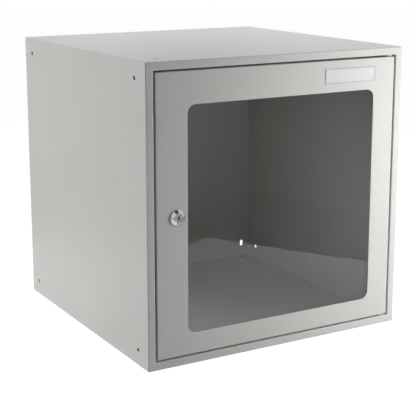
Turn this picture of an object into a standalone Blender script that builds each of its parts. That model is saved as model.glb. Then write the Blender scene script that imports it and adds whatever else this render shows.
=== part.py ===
"""Cube locker: a painted steel cube whose flush, glazed door turns on concealed pivots and shuts with a cam lock.

Run it with blender --background --python part.py, or from the text editor. Lengths are in metres and +Z is up.
The front faces -Y, and the origin is the centre of the base.
"""

import math

import bmesh
import bpy
from mathutils import Matrix, Vector

# Carcass
WIDTH = 0.380
DEPTH = 0.380
HEIGHT = 0.380
BODY_SHEET = 0.0010
BACK_SHEET = 0.0008
INNER_BEND = 0.0003
FRAME_FACE = 0.0105
FRAME_RETURN = 0.0185
STOP_LIP = 0.0100
REAR_FLANGE = 0.0180

# Clearances between pieces that touch or run in each other
SEAT_GAP = 0.0003
OVERRUN = 0.0050

# Holes for bolting lockers together, as insets of their centres
NEST_HOLE_RADIUS = 0.0027
NEST_FRONT_INSET = 0.0280
NEST_REAR_INSET = 0.0260
SIDE_NEST_INSET = 0.0210
TOP_NEST_INSET = 0.0290

# Slots for fixing the back to a wall
WALL_SLOT_WIDTH = 0.0054
WALL_SLOT_HEIGHT = 0.0100
WALL_SLOT_SIDE_INSET = 0.0135
WALL_SLOT_END_INSET = 0.0230

# Door
DOOR_GAP = 0.0020
DOOR_DEPTH = 0.0150
DOOR_SHEET = 0.0010
DOOR_LIP = 0.0120
LEFT_STILE = 0.0434
RIGHT_STILE = 0.0334
TOP_RAIL = 0.0410
BOTTOM_RAIL = 0.0279
WINDOW_RADIUS = 0.0110

# Pane and the strips that hold it
PANE_THICKNESS = 0.0030
PANE_OVERLAP = 0.0080
RETAINER_SHEET = 0.0010
RETAINER_LAP = 0.0060
RETAINER_FOOT = 0.0075
RETAINER_END_INSET = 0.0080
RETAINER_HOLE_INSET = 0.0160
LOCK_ZONE = 0.0260
STUD_RADIUS = 0.0015
STUD_LENGTH = 0.0060
NUT_ACROSS_FLATS = 0.0055
NUT_HEIGHT = 0.0024

# Pivots
PIVOT_INSET = 0.0070
PIVOT_DEPTH = 0.0055
PIN_RADIUS = 0.0020
PIN_HEAD_RADIUS = 0.0036
PIN_HEAD_HEIGHT = 0.0015
BUSH_WALL = 0.0009
BUSH_FLANGE_RADIUS = 0.0050
BUSH_FLANGE_HEIGHT = 0.0012
BUSH_STAND = 0.0020
PIN_STAND = 0.0010
HINGE_PLATE_LENGTH = 0.0300
HINGE_PLATE_THICKNESS = 0.0025

# Rubber door buffers
BUFFER_RADIUS = 0.0035
BUFFER_STEM_RADIUS = 0.0018
BUFFER_TAIL_RADIUS = 0.0028
BUFFER_TAIL_LENGTH = 0.0015
BUFFER_END_INSET = 0.0600

# Lock
LOCK_INSET = 0.0293
BEZEL_RADIUS = 0.01025
BEZEL_HEIGHT = 0.0040
BEZEL_EDGE_HEIGHT = 0.0010
BEZEL_RING_RADIUS = 0.0070
BEZEL_DISH = 0.0004
LOCK_BODY_RADIUS = 0.0080
LOCK_BODY_LENGTH = 0.0210
LOCK_FLAT = 0.0072
PLUG_RADIUS = 0.0058
PLUG_RECESS = 0.0002
KEYWAY_WIDTH = 0.0013
KEYWAY_HEIGHT = 0.0056
KEYWAY_DEPTH = 0.0140
LOCK_WASHER_RADIUS = 0.0100
LOCK_WASHER_THICKNESS = 0.0010
LOCK_NUT_ACROSS_FLATS = 0.0200
LOCK_NUT_HEIGHT = 0.0040
PANE_NOTCH_GAP = 0.0010
TAIL_HALF = 0.0033
CAM_THICKNESS = 0.0020
CAM_WIDTH = 0.0160
CAM_REACH = 0.0320
CAM_HEEL = 0.0095
CAM_CORNER_RADIUS = 0.0060
CAM_WASHER_RADIUS = 0.0060
CAM_WASHER_THICKNESS = 0.0008
CAM_SCREW_RADIUS = 0.0018
CAM_SCREW_LENGTH = 0.0090
CAM_SCREW_HEAD_RADIUS = 0.0038
CAM_SCREW_HEAD_HEIGHT = 0.0024
CAM_SCREW_SLOT_WIDTH = 0.0009
CAM_SCREW_SLOT_DEPTH = 0.0010

# Label holder
LABEL_WIDTH = 0.0810
LABEL_HEIGHT = 0.0200
LABEL_RIGHT_INSET = 0.0305
LABEL_BACK = 0.0003
LABEL_FRONT = 0.0003
LABEL_RIM = 0.0008
LABEL_LIP = 0.0012
LABEL_CORNER_RADIUS = 0.0010
CARD_THICKNESS = 0.0003

# Shares of the sizes that they follow
SLOT_END_SHARE = 0.48
BUFFER_SHOULDER_SHARE = 0.55
BUFFER_CROWN_SHARE = 0.55
PIN_TIP_SHARE = 0.70

# Facets
BEND_STEPS = 3
CORNER_STEPS = 6
SMALL_SIDES = 16
LARGE_SIDES = 36
HEX_SIDES = 6
MERGE_DISTANCE = 0.00001
SMOOTH_ANGLE = math.radians(35.0)

# Finishes: colour, roughness, metallic
GREY_PAINT = ((0.60, 0.60, 0.58), 0.42, 0.0)
CLEAR_SHEET = ((0.85, 0.88, 0.87), 0.05, 0.0)
ZINC = ((0.62, 0.62, 0.60), 0.35, 1.0)
CHROME = ((0.48, 0.48, 0.49), 0.30, 1.0)
BRIGHT_STEEL = ((0.55, 0.55, 0.55), 0.28, 1.0)
BLACK_RUBBER = ((0.03, 0.03, 0.03), 0.75, 0.0)
PALE_NYLON = ((0.72, 0.72, 0.68), 0.45, 0.0)
GREY_PLASTIC = ((0.50, 0.50, 0.50), 0.35, 0.0)
WHITE_CARD = ((0.78, 0.78, 0.80), 0.70, 0.0)

# Planes worked out from the sizes above
FRONT = -DEPTH / 2
REAR = DEPTH / 2
DOOR_EDGE = FRAME_FACE + DOOR_GAP
DOOR_LEFT = -WIDTH / 2 + DOOR_EDGE
DOOR_RIGHT = WIDTH / 2 - DOOR_EDGE
DOOR_BOTTOM = DOOR_EDGE
DOOR_TOP = HEIGHT - DOOR_EDGE
WINDOW_LOW = Vector((DOOR_LEFT + LEFT_STILE, FRONT, DOOR_BOTTOM + BOTTOM_RAIL))
WINDOW_HIGH = Vector((DOOR_RIGHT - RIGHT_STILE, FRONT, DOOR_TOP - TOP_RAIL))
WINDOW_CENTRE = (WINDOW_LOW + WINDOW_HIGH) / 2
SKIN_REAR = FRONT + DOOR_SHEET
PANE_FRONT = SKIN_REAR + SEAT_GAP
PANE_REAR = PANE_FRONT + PANE_THICKNESS
LIP_FRONT = FRONT + FRAME_RETURN
PIVOT = Vector((DOOR_RIGHT - PIVOT_INSET, FRONT + PIVOT_DEPTH, 0.0))
LOCK = Vector((DOOR_LEFT + LOCK_INSET, FRONT, (DOOR_BOTTOM + DOOR_TOP) / 2))
OUTER_BODY_BEND = INNER_BEND + BODY_SHEET
OUTER_DOOR_BEND = INNER_BEND + DOOR_SHEET

# Turns that point a piece's own Z axis along a direction of the locker
UP = (0.0, 0.0, 0.0)
DOWN = (0.0, math.pi, 0.0)
TO_RIGHT = (0.0, math.pi / 2, 0.0)
TO_LEFT = (0.0, -math.pi / 2, 0.0)
TO_FRONT = (math.pi / 2, 0.0, 0.0)


def clear_scene():
    """Removes whatever objects the file opened with."""
    for obj in list(bpy.data.objects):
        bpy.data.objects.remove(obj, do_unlink=True)


def new_collection(name):
    """A collection of that name, linked to the scene."""
    group = bpy.data.collections.new(name)
    bpy.context.scene.collection.children.link(group)
    return group


def new_material(name, look):
    """A material with the look's colour, roughness and metallic value."""
    colour, roughness, metallic = look
    material = bpy.data.materials.new(name)
    material.use_nodes = True
    shader = material.node_tree.nodes["Principled BSDF"]
    shader.inputs["Base Color"].default_value = (*colour, 1.0)
    shader.inputs["Roughness"].default_value = roughness
    shader.inputs["Metallic"].default_value = metallic
    material.diffuse_color = (*colour, 1.0)
    return material


def new_object(name, bm, at, turn, look):
    """An object from the mesh in bm: a part with its look, or a cutter where the look is None."""
    mesh = bpy.data.meshes.new(name)
    bm.to_mesh(mesh)
    bm.free()
    obj = bpy.data.objects.new(name, mesh)
    obj.location = at
    obj.rotation_euler = turn
    if look is None:
        CUTTERS.objects.link(obj)
        obj.hide_render = True
        obj.display_type = "WIRE"
    else:
        PARTS.objects.link(obj)
        mesh.materials.append(new_material(f"{name}_finish", look))
        mesh.shade_smooth()
        mesh.set_sharp_from_angle(angle=SMOOTH_ANGLE)
    return obj


def new_pivot(name, at, carrier=None):
    """An empty at a point, on which the pieces that move together are mounted."""
    empty = bpy.data.objects.new(name, None)
    empty.empty_display_size = FRAME_FACE
    empty.location = at
    PARTS.objects.link(empty)
    if carrier:
        mount(carrier, empty)
    return empty


def mount(carrier, *pieces):
    """Parents the pieces to the carrier and leaves them where they are."""
    bpy.context.view_layer.update()
    for piece in pieces:
        piece.parent = carrier
        piece.matrix_parent_inverse = carrier.matrix_world.inverted()


def boolean(obj, other, operation):
    """Adds one exact Boolean modifier."""
    modifier = obj.modifiers.new(other.name, "BOOLEAN")
    modifier.operation = operation
    modifier.solver = "EXACT"
    modifier.object = other


def cut(obj, *cutters):
    """Takes the cutters away from the object."""
    for cutter in cutters:
        boolean(obj, cutter, "DIFFERENCE")


def bake(obj):
    """Replaces the object's mesh with what its modifiers make of it."""
    bpy.context.view_layer.update()
    seen = obj.evaluated_get(bpy.context.evaluated_depsgraph_get())
    mesh = bpy.data.meshes.new_from_object(seen)
    obj.modifiers.clear()
    obj.data = mesh


def block(name, low, high, look=None, radius=0.0, along=None, steps=BEND_STEPS):
    """A box between two corners, with every edge rounded, or only those that run along one axis."""
    low, high = Vector(low), Vector(high)
    size = high - low
    bm = bmesh.new()
    bmesh.ops.create_cube(bm, size=1.0, matrix=Matrix.Diagonal((*size, 1.0)))
    if radius:
        edges = [e for e in bm.edges if along is None or runs_along(e, along)]
        bmesh.ops.bevel(bm, geom=edges, offset=radius, segments=steps, profile=0.5, affect="EDGES")
    return new_object(name, bm, (low + high) / 2, UP, look)


def runs_along(edge, axis):
    """Whether an edge is parallel to the axis of that number."""
    run = edge.verts[1].co - edge.verts[0].co
    return abs(run[axis]) > run.length / 2


def rod(name, at, turn, radius, bottom, top, look=None, sides=SMALL_SIDES):
    """A round or many-sided rod along its own Z axis, between two heights."""
    bm = bmesh.new()
    middle = Matrix.Translation((0.0, 0.0, (bottom + top) / 2))
    bmesh.ops.create_cone(
        bm,
        cap_ends=True,
        segments=sides,
        radius1=radius,
        radius2=radius,
        depth=top - bottom,
        matrix=middle,
    )
    return new_object(name, bm, at, turn, look)


def turned(name, outline, at, turn, look, sides=SMALL_SIDES, hollow=False):
    """A turned piece: an outline of (radius, height) points that runs down its outer side, revolved on Z."""
    bm = bmesh.new()
    points = [bm.verts.new((radius, 0.0, height)) for radius, height in outline]
    ends = points + points[:1] if hollow else points
    for first, second in zip(ends, ends[1:]):
        bm.edges.new((first, second))
    obj = new_object(name, bm, at, turn, look)
    screw = obj.modifiers.new("turning", "SCREW")
    screw.axis = "Z"
    screw.angle = math.tau
    screw.steps = sides
    screw.render_steps = sides
    screw.use_merge_vertices = True
    screw.merge_threshold = MERGE_DISTANCE
    screw.use_smooth_shade = True
    return obj


def rounded_path(points, radii):
    """The points of a path (y, z) whose inner corners are arcs of the given radii."""
    points = [Vector(point) for point in points]
    path = [points[0]]
    for before, corner, after, radius in zip(points, points[1:], points[2:], radii):
        back, ahead = (before - corner).normalized(), (after - corner).normalized()
        half = back.angle(ahead) / 2
        centre = corner + (back + ahead).normalized() * radius / math.sin(half)
        start = corner + back * radius / math.tan(half) - centre
        swing = math.pi - 2 * half
        if back.x * ahead.y - back.y * ahead.x > 0:
            swing = -swing
        for step in range(BEND_STEPS + 1):
            path.append(centre + Matrix.Rotation(swing * step / BEND_STEPS, 2) @ start)
    path.append(points[-1])
    return path


def folded_sheet(name, path, length, thickness, at, turn, look):
    """A sheet folded along a path (y, z) and running along its own X axis, thickened to the path's right."""
    bm = bmesh.new()
    row = [bm.verts.new((-length / 2, y, z)) for y, z in path]
    edges = [bm.edges.new(pair) for pair in zip(row, row[1:])]
    far = bmesh.ops.extrude_edge_only(bm, edges=edges)["geom"]
    moved = [item for item in far if isinstance(item, bmesh.types.BMVert)]
    bmesh.ops.translate(bm, verts=moved, vec=(length, 0.0, 0.0))
    bmesh.ops.recalc_face_normals(bm, faces=bm.faces[:])
    start = (path[0] + path[1]) / 2
    first = min(bm.faces, key=lambda face: (face.calc_center_median().yz - start).length)
    run = path[1] - path[0]
    if first.normal.dot(Vector((0.0, run.y, -run.x))) > 0:
        bmesh.ops.reverse_faces(bm, faces=bm.faces[:])
    obj = new_object(name, bm, at, turn, look)
    solidify = obj.modifiers.new("thickness", "SOLIDIFY")
    solidify.thickness = thickness
    solidify.offset = -1.0
    solidify.use_even_offset = True
    return obj


def mitre(obj, span):
    """Cuts both ends of a carcass wall at 45 degrees, where it meets its neighbours."""
    bake(obj)
    bm = bmesh.new()
    bm.from_mesh(obj.data)
    for end in (-1.0, 1.0):
        outward = Vector((end, 0.0, 1.0)).normalized()
        corner = Vector((end * span / 2, 0.0, 0.0)) - outward * SEAT_GAP / 2
        everything = bm.verts[:] + bm.edges[:] + bm.faces[:]
        sliced = bmesh.ops.bisect_plane(
            bm, geom=everything, plane_co=corner, plane_no=outward, clear_outer=True
        )
        rim = [item for item in sliced["geom_cut"] if isinstance(item, bmesh.types.BMEdge)]
        bmesh.ops.edgeloop_fill(bm, edges=rim)
    bmesh.ops.recalc_face_normals(bm, faces=bm.faces[:])
    bm.to_mesh(obj.data)
    bm.free()
    obj.data.set_sharp_from_angle(angle=SMOOTH_ANGLE)


def wall_path():
    """A carcass wall in section: rear flange, wall, front face, return and stop lip, as (y, distance inward)."""
    corners = [
        (REAR, REAR_FLANGE),
        (REAR, 0.0),
        (FRONT, 0.0),
        (FRONT, FRAME_FACE),
        (LIP_FRONT, FRAME_FACE),
        (LIP_FRONT, FRAME_FACE + STOP_LIP),
    ]
    return rounded_path(corners, [OUTER_BODY_BEND] * 3 + [INNER_BEND])


def nesting_holes():
    """Cutters for the holes that bolt one locker to the next: rods across the sides and up through top and base."""
    depths = (FRONT + NEST_FRONT_INSET, REAR - NEST_REAR_INSET)
    across, upright = [], []
    for y in depths:
        for z in (SIDE_NEST_INSET, HEIGHT - SIDE_NEST_INSET):
            number = len(across) + 1
            across.append(
                rod(f"side_hole_cutter_{number}", (0.0, y, z), TO_RIGHT, NEST_HOLE_RADIUS,
                    -WIDTH / 2 - OVERRUN, WIDTH / 2 + OVERRUN)
            )
        for x in (-WIDTH / 2 + TOP_NEST_INSET, WIDTH / 2 - TOP_NEST_INSET):
            number = len(upright) + 1
            upright.append(
                rod(f"top_hole_cutter_{number}", (x, y, 0.0), UP, NEST_HOLE_RADIUS,
                    -OVERRUN, HEIGHT + OVERRUN)
            )
    return across, upright


def wall_slots():
    """Cutters for the slots in the back's four corners, by side."""
    slots = {}
    for side, name in ((-1.0, "left"), (1.0, "right")):
        x = side * (WIDTH / 2 - WALL_SLOT_SIDE_INSET)
        slots[name] = [
            block(
                f"{name}_slot_cutter_{number}",
                (x - WALL_SLOT_WIDTH / 2, REAR - OVERRUN, z - WALL_SLOT_HEIGHT / 2),
                (x + WALL_SLOT_WIDTH / 2, REAR + OVERRUN, z + WALL_SLOT_HEIGHT / 2),
                radius=WALL_SLOT_WIDTH * SLOT_END_SHARE,
                along=1,
            )
            for number, z in enumerate((WALL_SLOT_END_INSET, HEIGHT - WALL_SLOT_END_INSET), 1)
        ]
    return slots


def buffer_heights():
    """The heights of the two rubber buffers on the lock side's stop lip."""
    return DOOR_BOTTOM + BUFFER_END_INSET, DOOR_TOP - BUFFER_END_INSET


def buffer_place(z):
    """Where a buffer sits on the lock side's stop lip."""
    return Vector((-WIDTH / 2 + FRAME_FACE + STOP_LIP / 2, LIP_FRONT, z))


def build_carcass():
    """The four folded walls and the back, with every hole they carry."""
    across, upright = nesting_holes()
    slots = wall_slots()
    bush_hole_radius = PIN_RADIUS + SEAT_GAP + BUSH_WALL + SEAT_GAP
    bush_holes = rod("bush_hole_cutter", PIVOT, UP, bush_hole_radius, BODY_SHEET + OVERRUN,
                     HEIGHT - BODY_SHEET - OVERRUN)
    buffer_holes = [
        rod(f"buffer_hole_cutter_{number}", buffer_place(z), TO_FRONT, BUFFER_STEM_RADIUS + SEAT_GAP,
            -OVERRUN, OVERRUN)
        for number, z in enumerate(buffer_heights(), 1)
    ]
    walls = {
        "bottom_panel": (WIDTH, (0.0, 0.0, 0.0), UP, upright + [bush_holes]),
        "top_panel": (WIDTH, (0.0, 0.0, HEIGHT), DOWN, upright + [bush_holes]),
        "left_side_panel": (HEIGHT, (-WIDTH / 2, 0.0, HEIGHT / 2), TO_RIGHT,
                            across + slots["left"] + buffer_holes),
        "right_side_panel": (HEIGHT, (WIDTH / 2, 0.0, HEIGHT / 2), TO_LEFT, across + slots["right"]),
    }
    made = []
    for name, (span, at, turn, cutters) in walls.items():
        wall = folded_sheet(name, wall_path(), span, BODY_SHEET, at, turn, GREY_PAINT)
        mitre(wall, span)
        cut(wall, *cutters)
        made.append(wall)
    inset = BODY_SHEET + SEAT_GAP
    back = block(
        "back_panel",
        (-WIDTH / 2 + inset, REAR - inset - BACK_SHEET, inset),
        (WIDTH / 2 - inset, REAR - inset, HEIGHT - inset),
        GREY_PAINT,
    )
    cut(back, *slots["left"], *slots["right"])
    return made + [back]


def build_buffers():
    """Rubber buffers: a domed head in front of the lip, a stem through it and a tail behind."""
    head = FRAME_RETURN - DOOR_DEPTH - 2 * SEAT_GAP
    shoulder = head * BUFFER_SHOULDER_SHARE
    behind = -BODY_SHEET - SEAT_GAP
    outline = [
        (0.0, SEAT_GAP + head),
        (BUFFER_RADIUS * BUFFER_CROWN_SHARE, SEAT_GAP + head),
        (BUFFER_RADIUS, SEAT_GAP + shoulder),
        (BUFFER_RADIUS, SEAT_GAP),
        (BUFFER_STEM_RADIUS, SEAT_GAP),
        (BUFFER_STEM_RADIUS, behind),
        (BUFFER_TAIL_RADIUS, behind),
        (BUFFER_STEM_RADIUS, behind - BUFFER_TAIL_LENGTH),
        (0.0, behind - BUFFER_TAIL_LENGTH),
    ]
    names = ("lower_door_buffer", "upper_door_buffer")
    return [
        turned(name, outline, buffer_place(z), TO_FRONT, BLACK_RUBBER)
        for name, z in zip(names, buffer_heights())
    ]


def build_bush(name, edge, turn):
    """A flanged nylon bush in the frame's return, its flange in the gap beside the door's edge."""
    bore = PIN_RADIUS + SEAT_GAP
    barrel = bore + BUSH_WALL
    flange_top = DOOR_GAP - SEAT_GAP
    barrel_top = DOOR_GAP + BODY_SHEET + BUSH_STAND
    outline = [
        (barrel, barrel_top),
        (barrel, flange_top),
        (BUSH_FLANGE_RADIUS, flange_top),
        (BUSH_FLANGE_RADIUS, flange_top - BUSH_FLANGE_HEIGHT),
        (bore, flange_top - BUSH_FLANGE_HEIGHT),
        (bore, barrel_top),
    ]
    return turned(name, outline, edge, turn, PALE_NYLON, hollow=True)


def build_pin(name, edge, turn):
    """A headed pivot pin from inside the door, through its edge, to above the bush."""
    plate_floor = -DOOR_SHEET - SEAT_GAP - HINGE_PLATE_THICKNESS
    head_top = plate_floor - SEAT_GAP
    pin_top = DOOR_GAP + BODY_SHEET + BUSH_STAND + PIN_STAND
    outline = [
        (0.0, pin_top),
        (PIN_RADIUS * PIN_TIP_SHARE, pin_top),
        (PIN_RADIUS, pin_top - PIN_STAND * PIN_TIP_SHARE),
        (PIN_RADIUS, head_top),
        (PIN_HEAD_RADIUS, head_top),
        (PIN_HEAD_RADIUS, head_top - PIN_HEAD_HEIGHT),
        (0.0, head_top - PIN_HEAD_HEIGHT),
    ]
    return turned(name, outline, edge, turn, ZINC)


def build_hinge_plate(name, edge, side, pin_hole):
    """A plate inside the door's corner that carries the pivot pin; side is 1 at the top and -1 at the bottom."""
    outer = edge.z - side * (DOOR_SHEET + SEAT_GAP)
    inner = outer - side * HINGE_PLATE_THICKNESS
    right = DOOR_RIGHT - DOOR_SHEET - SEAT_GAP
    plate = block(
        name,
        (right - HINGE_PLATE_LENGTH, SKIN_REAR + SEAT_GAP, min(outer, inner)),
        (right, FRONT + DOOR_DEPTH - DOOR_SHEET - SEAT_GAP, max(outer, inner)),
        ZINC,
    )
    cut(plate, pin_hole)
    return plate


def build_door_panel(pin_hole):
    """The door: a folded tray with returned lips at the back, a window, the lock's hole and two pin holes."""
    low = Vector((DOOR_LEFT, FRONT, DOOR_BOTTOM))
    high = Vector((DOOR_RIGHT, FRONT + DOOR_DEPTH, DOOR_TOP))
    sheet = Vector((DOOR_SHEET, DOOR_SHEET, DOOR_SHEET))
    lip = Vector((DOOR_LIP, DOOR_SHEET, DOOR_LIP))
    through = Vector((0.0, OVERRUN, 0.0))
    half_depth = Vector((0.0, DOOR_DEPTH / 2, 0.0))
    panel = block("door_panel", low, high, GREY_PAINT, radius=OUTER_DOOR_BEND)
    hollow = block("door_hollow_cutter", low + sheet, high - sheet)
    mouth = block("door_mouth_cutter", low + lip + half_depth, high - lip + 2 * through)
    window = block(
        "window_cutter", WINDOW_LOW - through, WINDOW_HIGH + through,
        radius=WINDOW_RADIUS, along=1, steps=CORNER_STEPS,
    )
    cut(panel, hollow, mouth, window, lock_hole(), pin_hole)
    return panel


def lock_hole():
    """The cutter for the lock's hole: a round hole with two flats that stop the lock turning."""
    hole = rod("lock_hole_cutter", LOCK, TO_FRONT, LOCK_BODY_RADIUS + SEAT_GAP, -OVERRUN, OVERRUN,
               sides=LARGE_SIDES)
    reach = Vector((LOCK_FLAT + SEAT_GAP, 2 * OVERRUN, LOCK_BODY_RADIUS + OVERRUN))
    flats = block("lock_hole_flats_cutter", LOCK - reach, LOCK + reach)
    boolean(hole, flats, "INTERSECT")
    return hole


def build_pane():
    """The clear pane behind the window, notched round the lock."""
    grow = Vector((PANE_OVERLAP, 0.0, PANE_OVERLAP))
    low, high = WINDOW_LOW - grow, WINDOW_HIGH + grow
    low.y, high.y = PANE_FRONT, PANE_REAR
    pane = block("window_pane", low, high, CLEAR_SHEET)
    nut_corner = LOCK_NUT_ACROSS_FLATS / 2 / math.cos(math.pi / HEX_SIDES)
    notch = rod("pane_notch_cutter", LOCK, TO_FRONT, nut_corner + PANE_NOTCH_GAP,
                -DOOR_DEPTH, OVERRUN, sides=LARGE_SIDES)
    cut(pane, notch)
    return pane


def retainer_path():
    """A retaining strip in section, as (y, distance out from the window's edge): a lap on the pane, a step, a foot."""
    step = PANE_OVERLAP + 2 * SEAT_GAP
    lap_front = PANE_REAR + SEAT_GAP
    foot_front = SKIN_REAR + SEAT_GAP
    corners = [
        (lap_front, step - RETAINER_LAP),
        (lap_front, step),
        (foot_front, step),
        (foot_front, step + RETAINER_SHEET + INNER_BEND + RETAINER_FOOT),
    ]
    return rounded_path(corners, [INNER_BEND, INNER_BEND + RETAINER_SHEET])


def retainer_runs():
    """For each strip: its name, its turn, the middle of its run on the window's edge and its length."""
    wide = WINDOW_HIGH.x - WINDOW_LOW.x - 2 * RETAINER_END_INSET
    tall = WINDOW_HIGH.z - WINDOW_LOW.z - 2 * RETAINER_END_INSET
    floor = WINDOW_LOW.z + RETAINER_END_INSET
    ceiling = WINDOW_HIGH.z - RETAINER_END_INSET
    below, above = LOCK.z - LOCK_ZONE, LOCK.z + LOCK_ZONE
    return (
        ("top", UP, (WINDOW_CENTRE.x, 0.0, WINDOW_HIGH.z), wide),
        ("bottom", DOWN, (WINDOW_CENTRE.x, 0.0, WINDOW_LOW.z), wide),
        ("right", TO_RIGHT, (WINDOW_HIGH.x, 0.0, WINDOW_CENTRE.z), tall),
        ("left_lower", TO_LEFT, (WINDOW_LOW.x, 0.0, (floor + below) / 2), below - floor),
        ("left_upper", TO_LEFT, (WINDOW_LOW.x, 0.0, (above + ceiling) / 2), ceiling - above),
    )


def nut_mesh():
    """One small hexagon nut's mesh, which all the nuts share."""
    corner = NUT_ACROSS_FLATS / 2 / math.cos(math.pi / HEX_SIDES)
    nut = rod("pane_nut", Vector(), TO_FRONT, corner, -NUT_HEIGHT, 0.0, ZINC, sides=HEX_SIDES)
    bore = rod("nut_bore_cutter", Vector(), TO_FRONT, STUD_RADIUS + SEAT_GAP, -NUT_HEIGHT - OVERRUN, OVERRUN)
    cut(nut, bore)
    bake(nut)
    mesh = nut.data
    bpy.data.objects.remove(nut)
    return mesh


def build_pane_fixings():
    """The five retaining strips with their welded studs and their nuts."""
    made = []
    nuts = nut_mesh()
    foot_centre = PANE_OVERLAP + 2 * SEAT_GAP + RETAINER_SHEET + INNER_BEND + RETAINER_FOOT / 2
    foot_rear = SKIN_REAR + SEAT_GAP + RETAINER_SHEET
    for name, turn, middle, length in retainer_runs():
        strip = folded_sheet(f"{name}_pane_retainer", retainer_path(), length, RETAINER_SHEET,
                             middle, turn, ZINC)
        made.append(strip)
        place = Matrix.Translation(middle) @ Matrix.Rotation(turn[1], 4, "Y")
        for end, side in ((1, -1.0), (2, 1.0)):
            spot = place @ Vector((side * (length / 2 - RETAINER_HOLE_INSET), SKIN_REAR + SEAT_GAP, foot_centre))
            hole = rod(f"{name}_hole_cutter_{end}", spot, TO_FRONT, STUD_RADIUS + SEAT_GAP, -OVERRUN, OVERRUN)
            cut(strip, hole)
            made.append(
                rod(f"{name}_pane_stud_{end}", spot, TO_FRONT, STUD_RADIUS, -STUD_LENGTH, 0.0, ZINC)
            )
            nut = bpy.data.objects.new(f"{name}_pane_nut_{end}", nuts)
            nut.location = (spot.x, foot_rear + SEAT_GAP, spot.z)
            nut.rotation_euler = TO_FRONT
            PARTS.objects.link(nut)
            made.append(nut)
    return made


def build_label():
    """The label holder, open at its left end, and the blank card in it."""
    right = DOOR_RIGHT - LABEL_RIGHT_INSET
    middle = DOOR_TOP - TOP_RAIL / 2
    rear = FRONT - SEAT_GAP
    slot_rear = rear - LABEL_BACK
    slot_front = slot_rear - CARD_THICKNESS - 2 * SEAT_GAP
    front = slot_front - LABEL_FRONT
    low = Vector((right - LABEL_WIDTH, front, middle - LABEL_HEIGHT / 2))
    high = Vector((right, rear, middle + LABEL_HEIGHT / 2))
    holder = block("label_holder", low, high, GREY_PLASTIC, radius=LABEL_CORNER_RADIUS, along=1)
    rim = Vector((LABEL_RIM, 0.0, LABEL_RIM))
    lip = rim + Vector((LABEL_LIP, 0.0, LABEL_LIP))
    slot_low, slot_high = low + rim, high - rim
    slot_low.x -= OVERRUN
    slot_low.y, slot_high.y = slot_front, slot_rear
    slot = block("label_slot_cutter", slot_low, slot_high)
    view_low, view_high = low + lip, high - lip
    view_low.y, view_high.y = front - OVERRUN, (slot_front + slot_rear) / 2
    cut(holder, slot, block("label_view_cutter", view_low, view_high))
    play = Vector((SEAT_GAP, SEAT_GAP, SEAT_GAP))
    card_low, card_high = slot_low + play, slot_high - play
    card_low.x = low.x + LABEL_RIM
    card = block("label_card", card_low, card_high, WHITE_CARD)
    return [holder, card]


def build_lock_housing():
    """The lock's fixed body: a dished bezel on the door's face and a flatted barrel through it."""
    bore = PLUG_RADIUS + SEAT_GAP
    rear = -LOCK_BODY_LENGTH
    outline = [
        (BEZEL_RING_RADIUS, BEZEL_HEIGHT),
        (BEZEL_RADIUS, BEZEL_EDGE_HEIGHT),
        (BEZEL_RADIUS, SEAT_GAP),
        (LOCK_BODY_RADIUS, SEAT_GAP),
        (LOCK_BODY_RADIUS, rear),
        (bore, rear),
        (bore, BEZEL_HEIGHT - BEZEL_DISH),
    ]
    housing = turned("lock_housing", outline, LOCK, TO_FRONT, CHROME, sides=LARGE_SIDES, hollow=True)
    for name, side in (("left", -1.0), ("right", 1.0)):
        near, far = side * LOCK_FLAT, side * (LOCK_BODY_RADIUS + OVERRUN)
        flat = block(
            f"{name}_flat_cutter",
            LOCK + Vector((min(near, far), -SEAT_GAP / 2, -LOCK_BODY_RADIUS - OVERRUN)),
            LOCK + Vector((max(near, far), LOCK_BODY_LENGTH + OVERRUN, LOCK_BODY_RADIUS + OVERRUN)),
        )
        cut(housing, flat)
    return housing


def build_lock_fixings():
    """The washer and the hexagon nut that draw the lock against the door's skin."""
    bore = LOCK_BODY_RADIUS + SEAT_GAP
    washer_top = -DOOR_SHEET - SEAT_GAP
    washer_floor = washer_top - LOCK_WASHER_THICKNESS
    outline = [
        (LOCK_WASHER_RADIUS, washer_top),
        (LOCK_WASHER_RADIUS, washer_floor),
        (bore, washer_floor),
        (bore, washer_top),
    ]
    washer = turned("lock_washer", outline, LOCK, TO_FRONT, ZINC, sides=LARGE_SIDES, hollow=True)
    nut_top = washer_floor - SEAT_GAP
    corner = LOCK_NUT_ACROSS_FLATS / 2 / math.cos(math.pi / HEX_SIDES)
    nut = rod("lock_nut", LOCK, TO_FRONT, corner, nut_top - LOCK_NUT_HEIGHT, nut_top, ZINC, sides=HEX_SIDES)
    hole = rod("lock_nut_bore_cutter", LOCK, TO_FRONT, bore, nut_top - LOCK_NUT_HEIGHT - OVERRUN,
               nut_top + OVERRUN, sides=LARGE_SIDES)
    cut(nut, hole)
    return [washer, nut]


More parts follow.
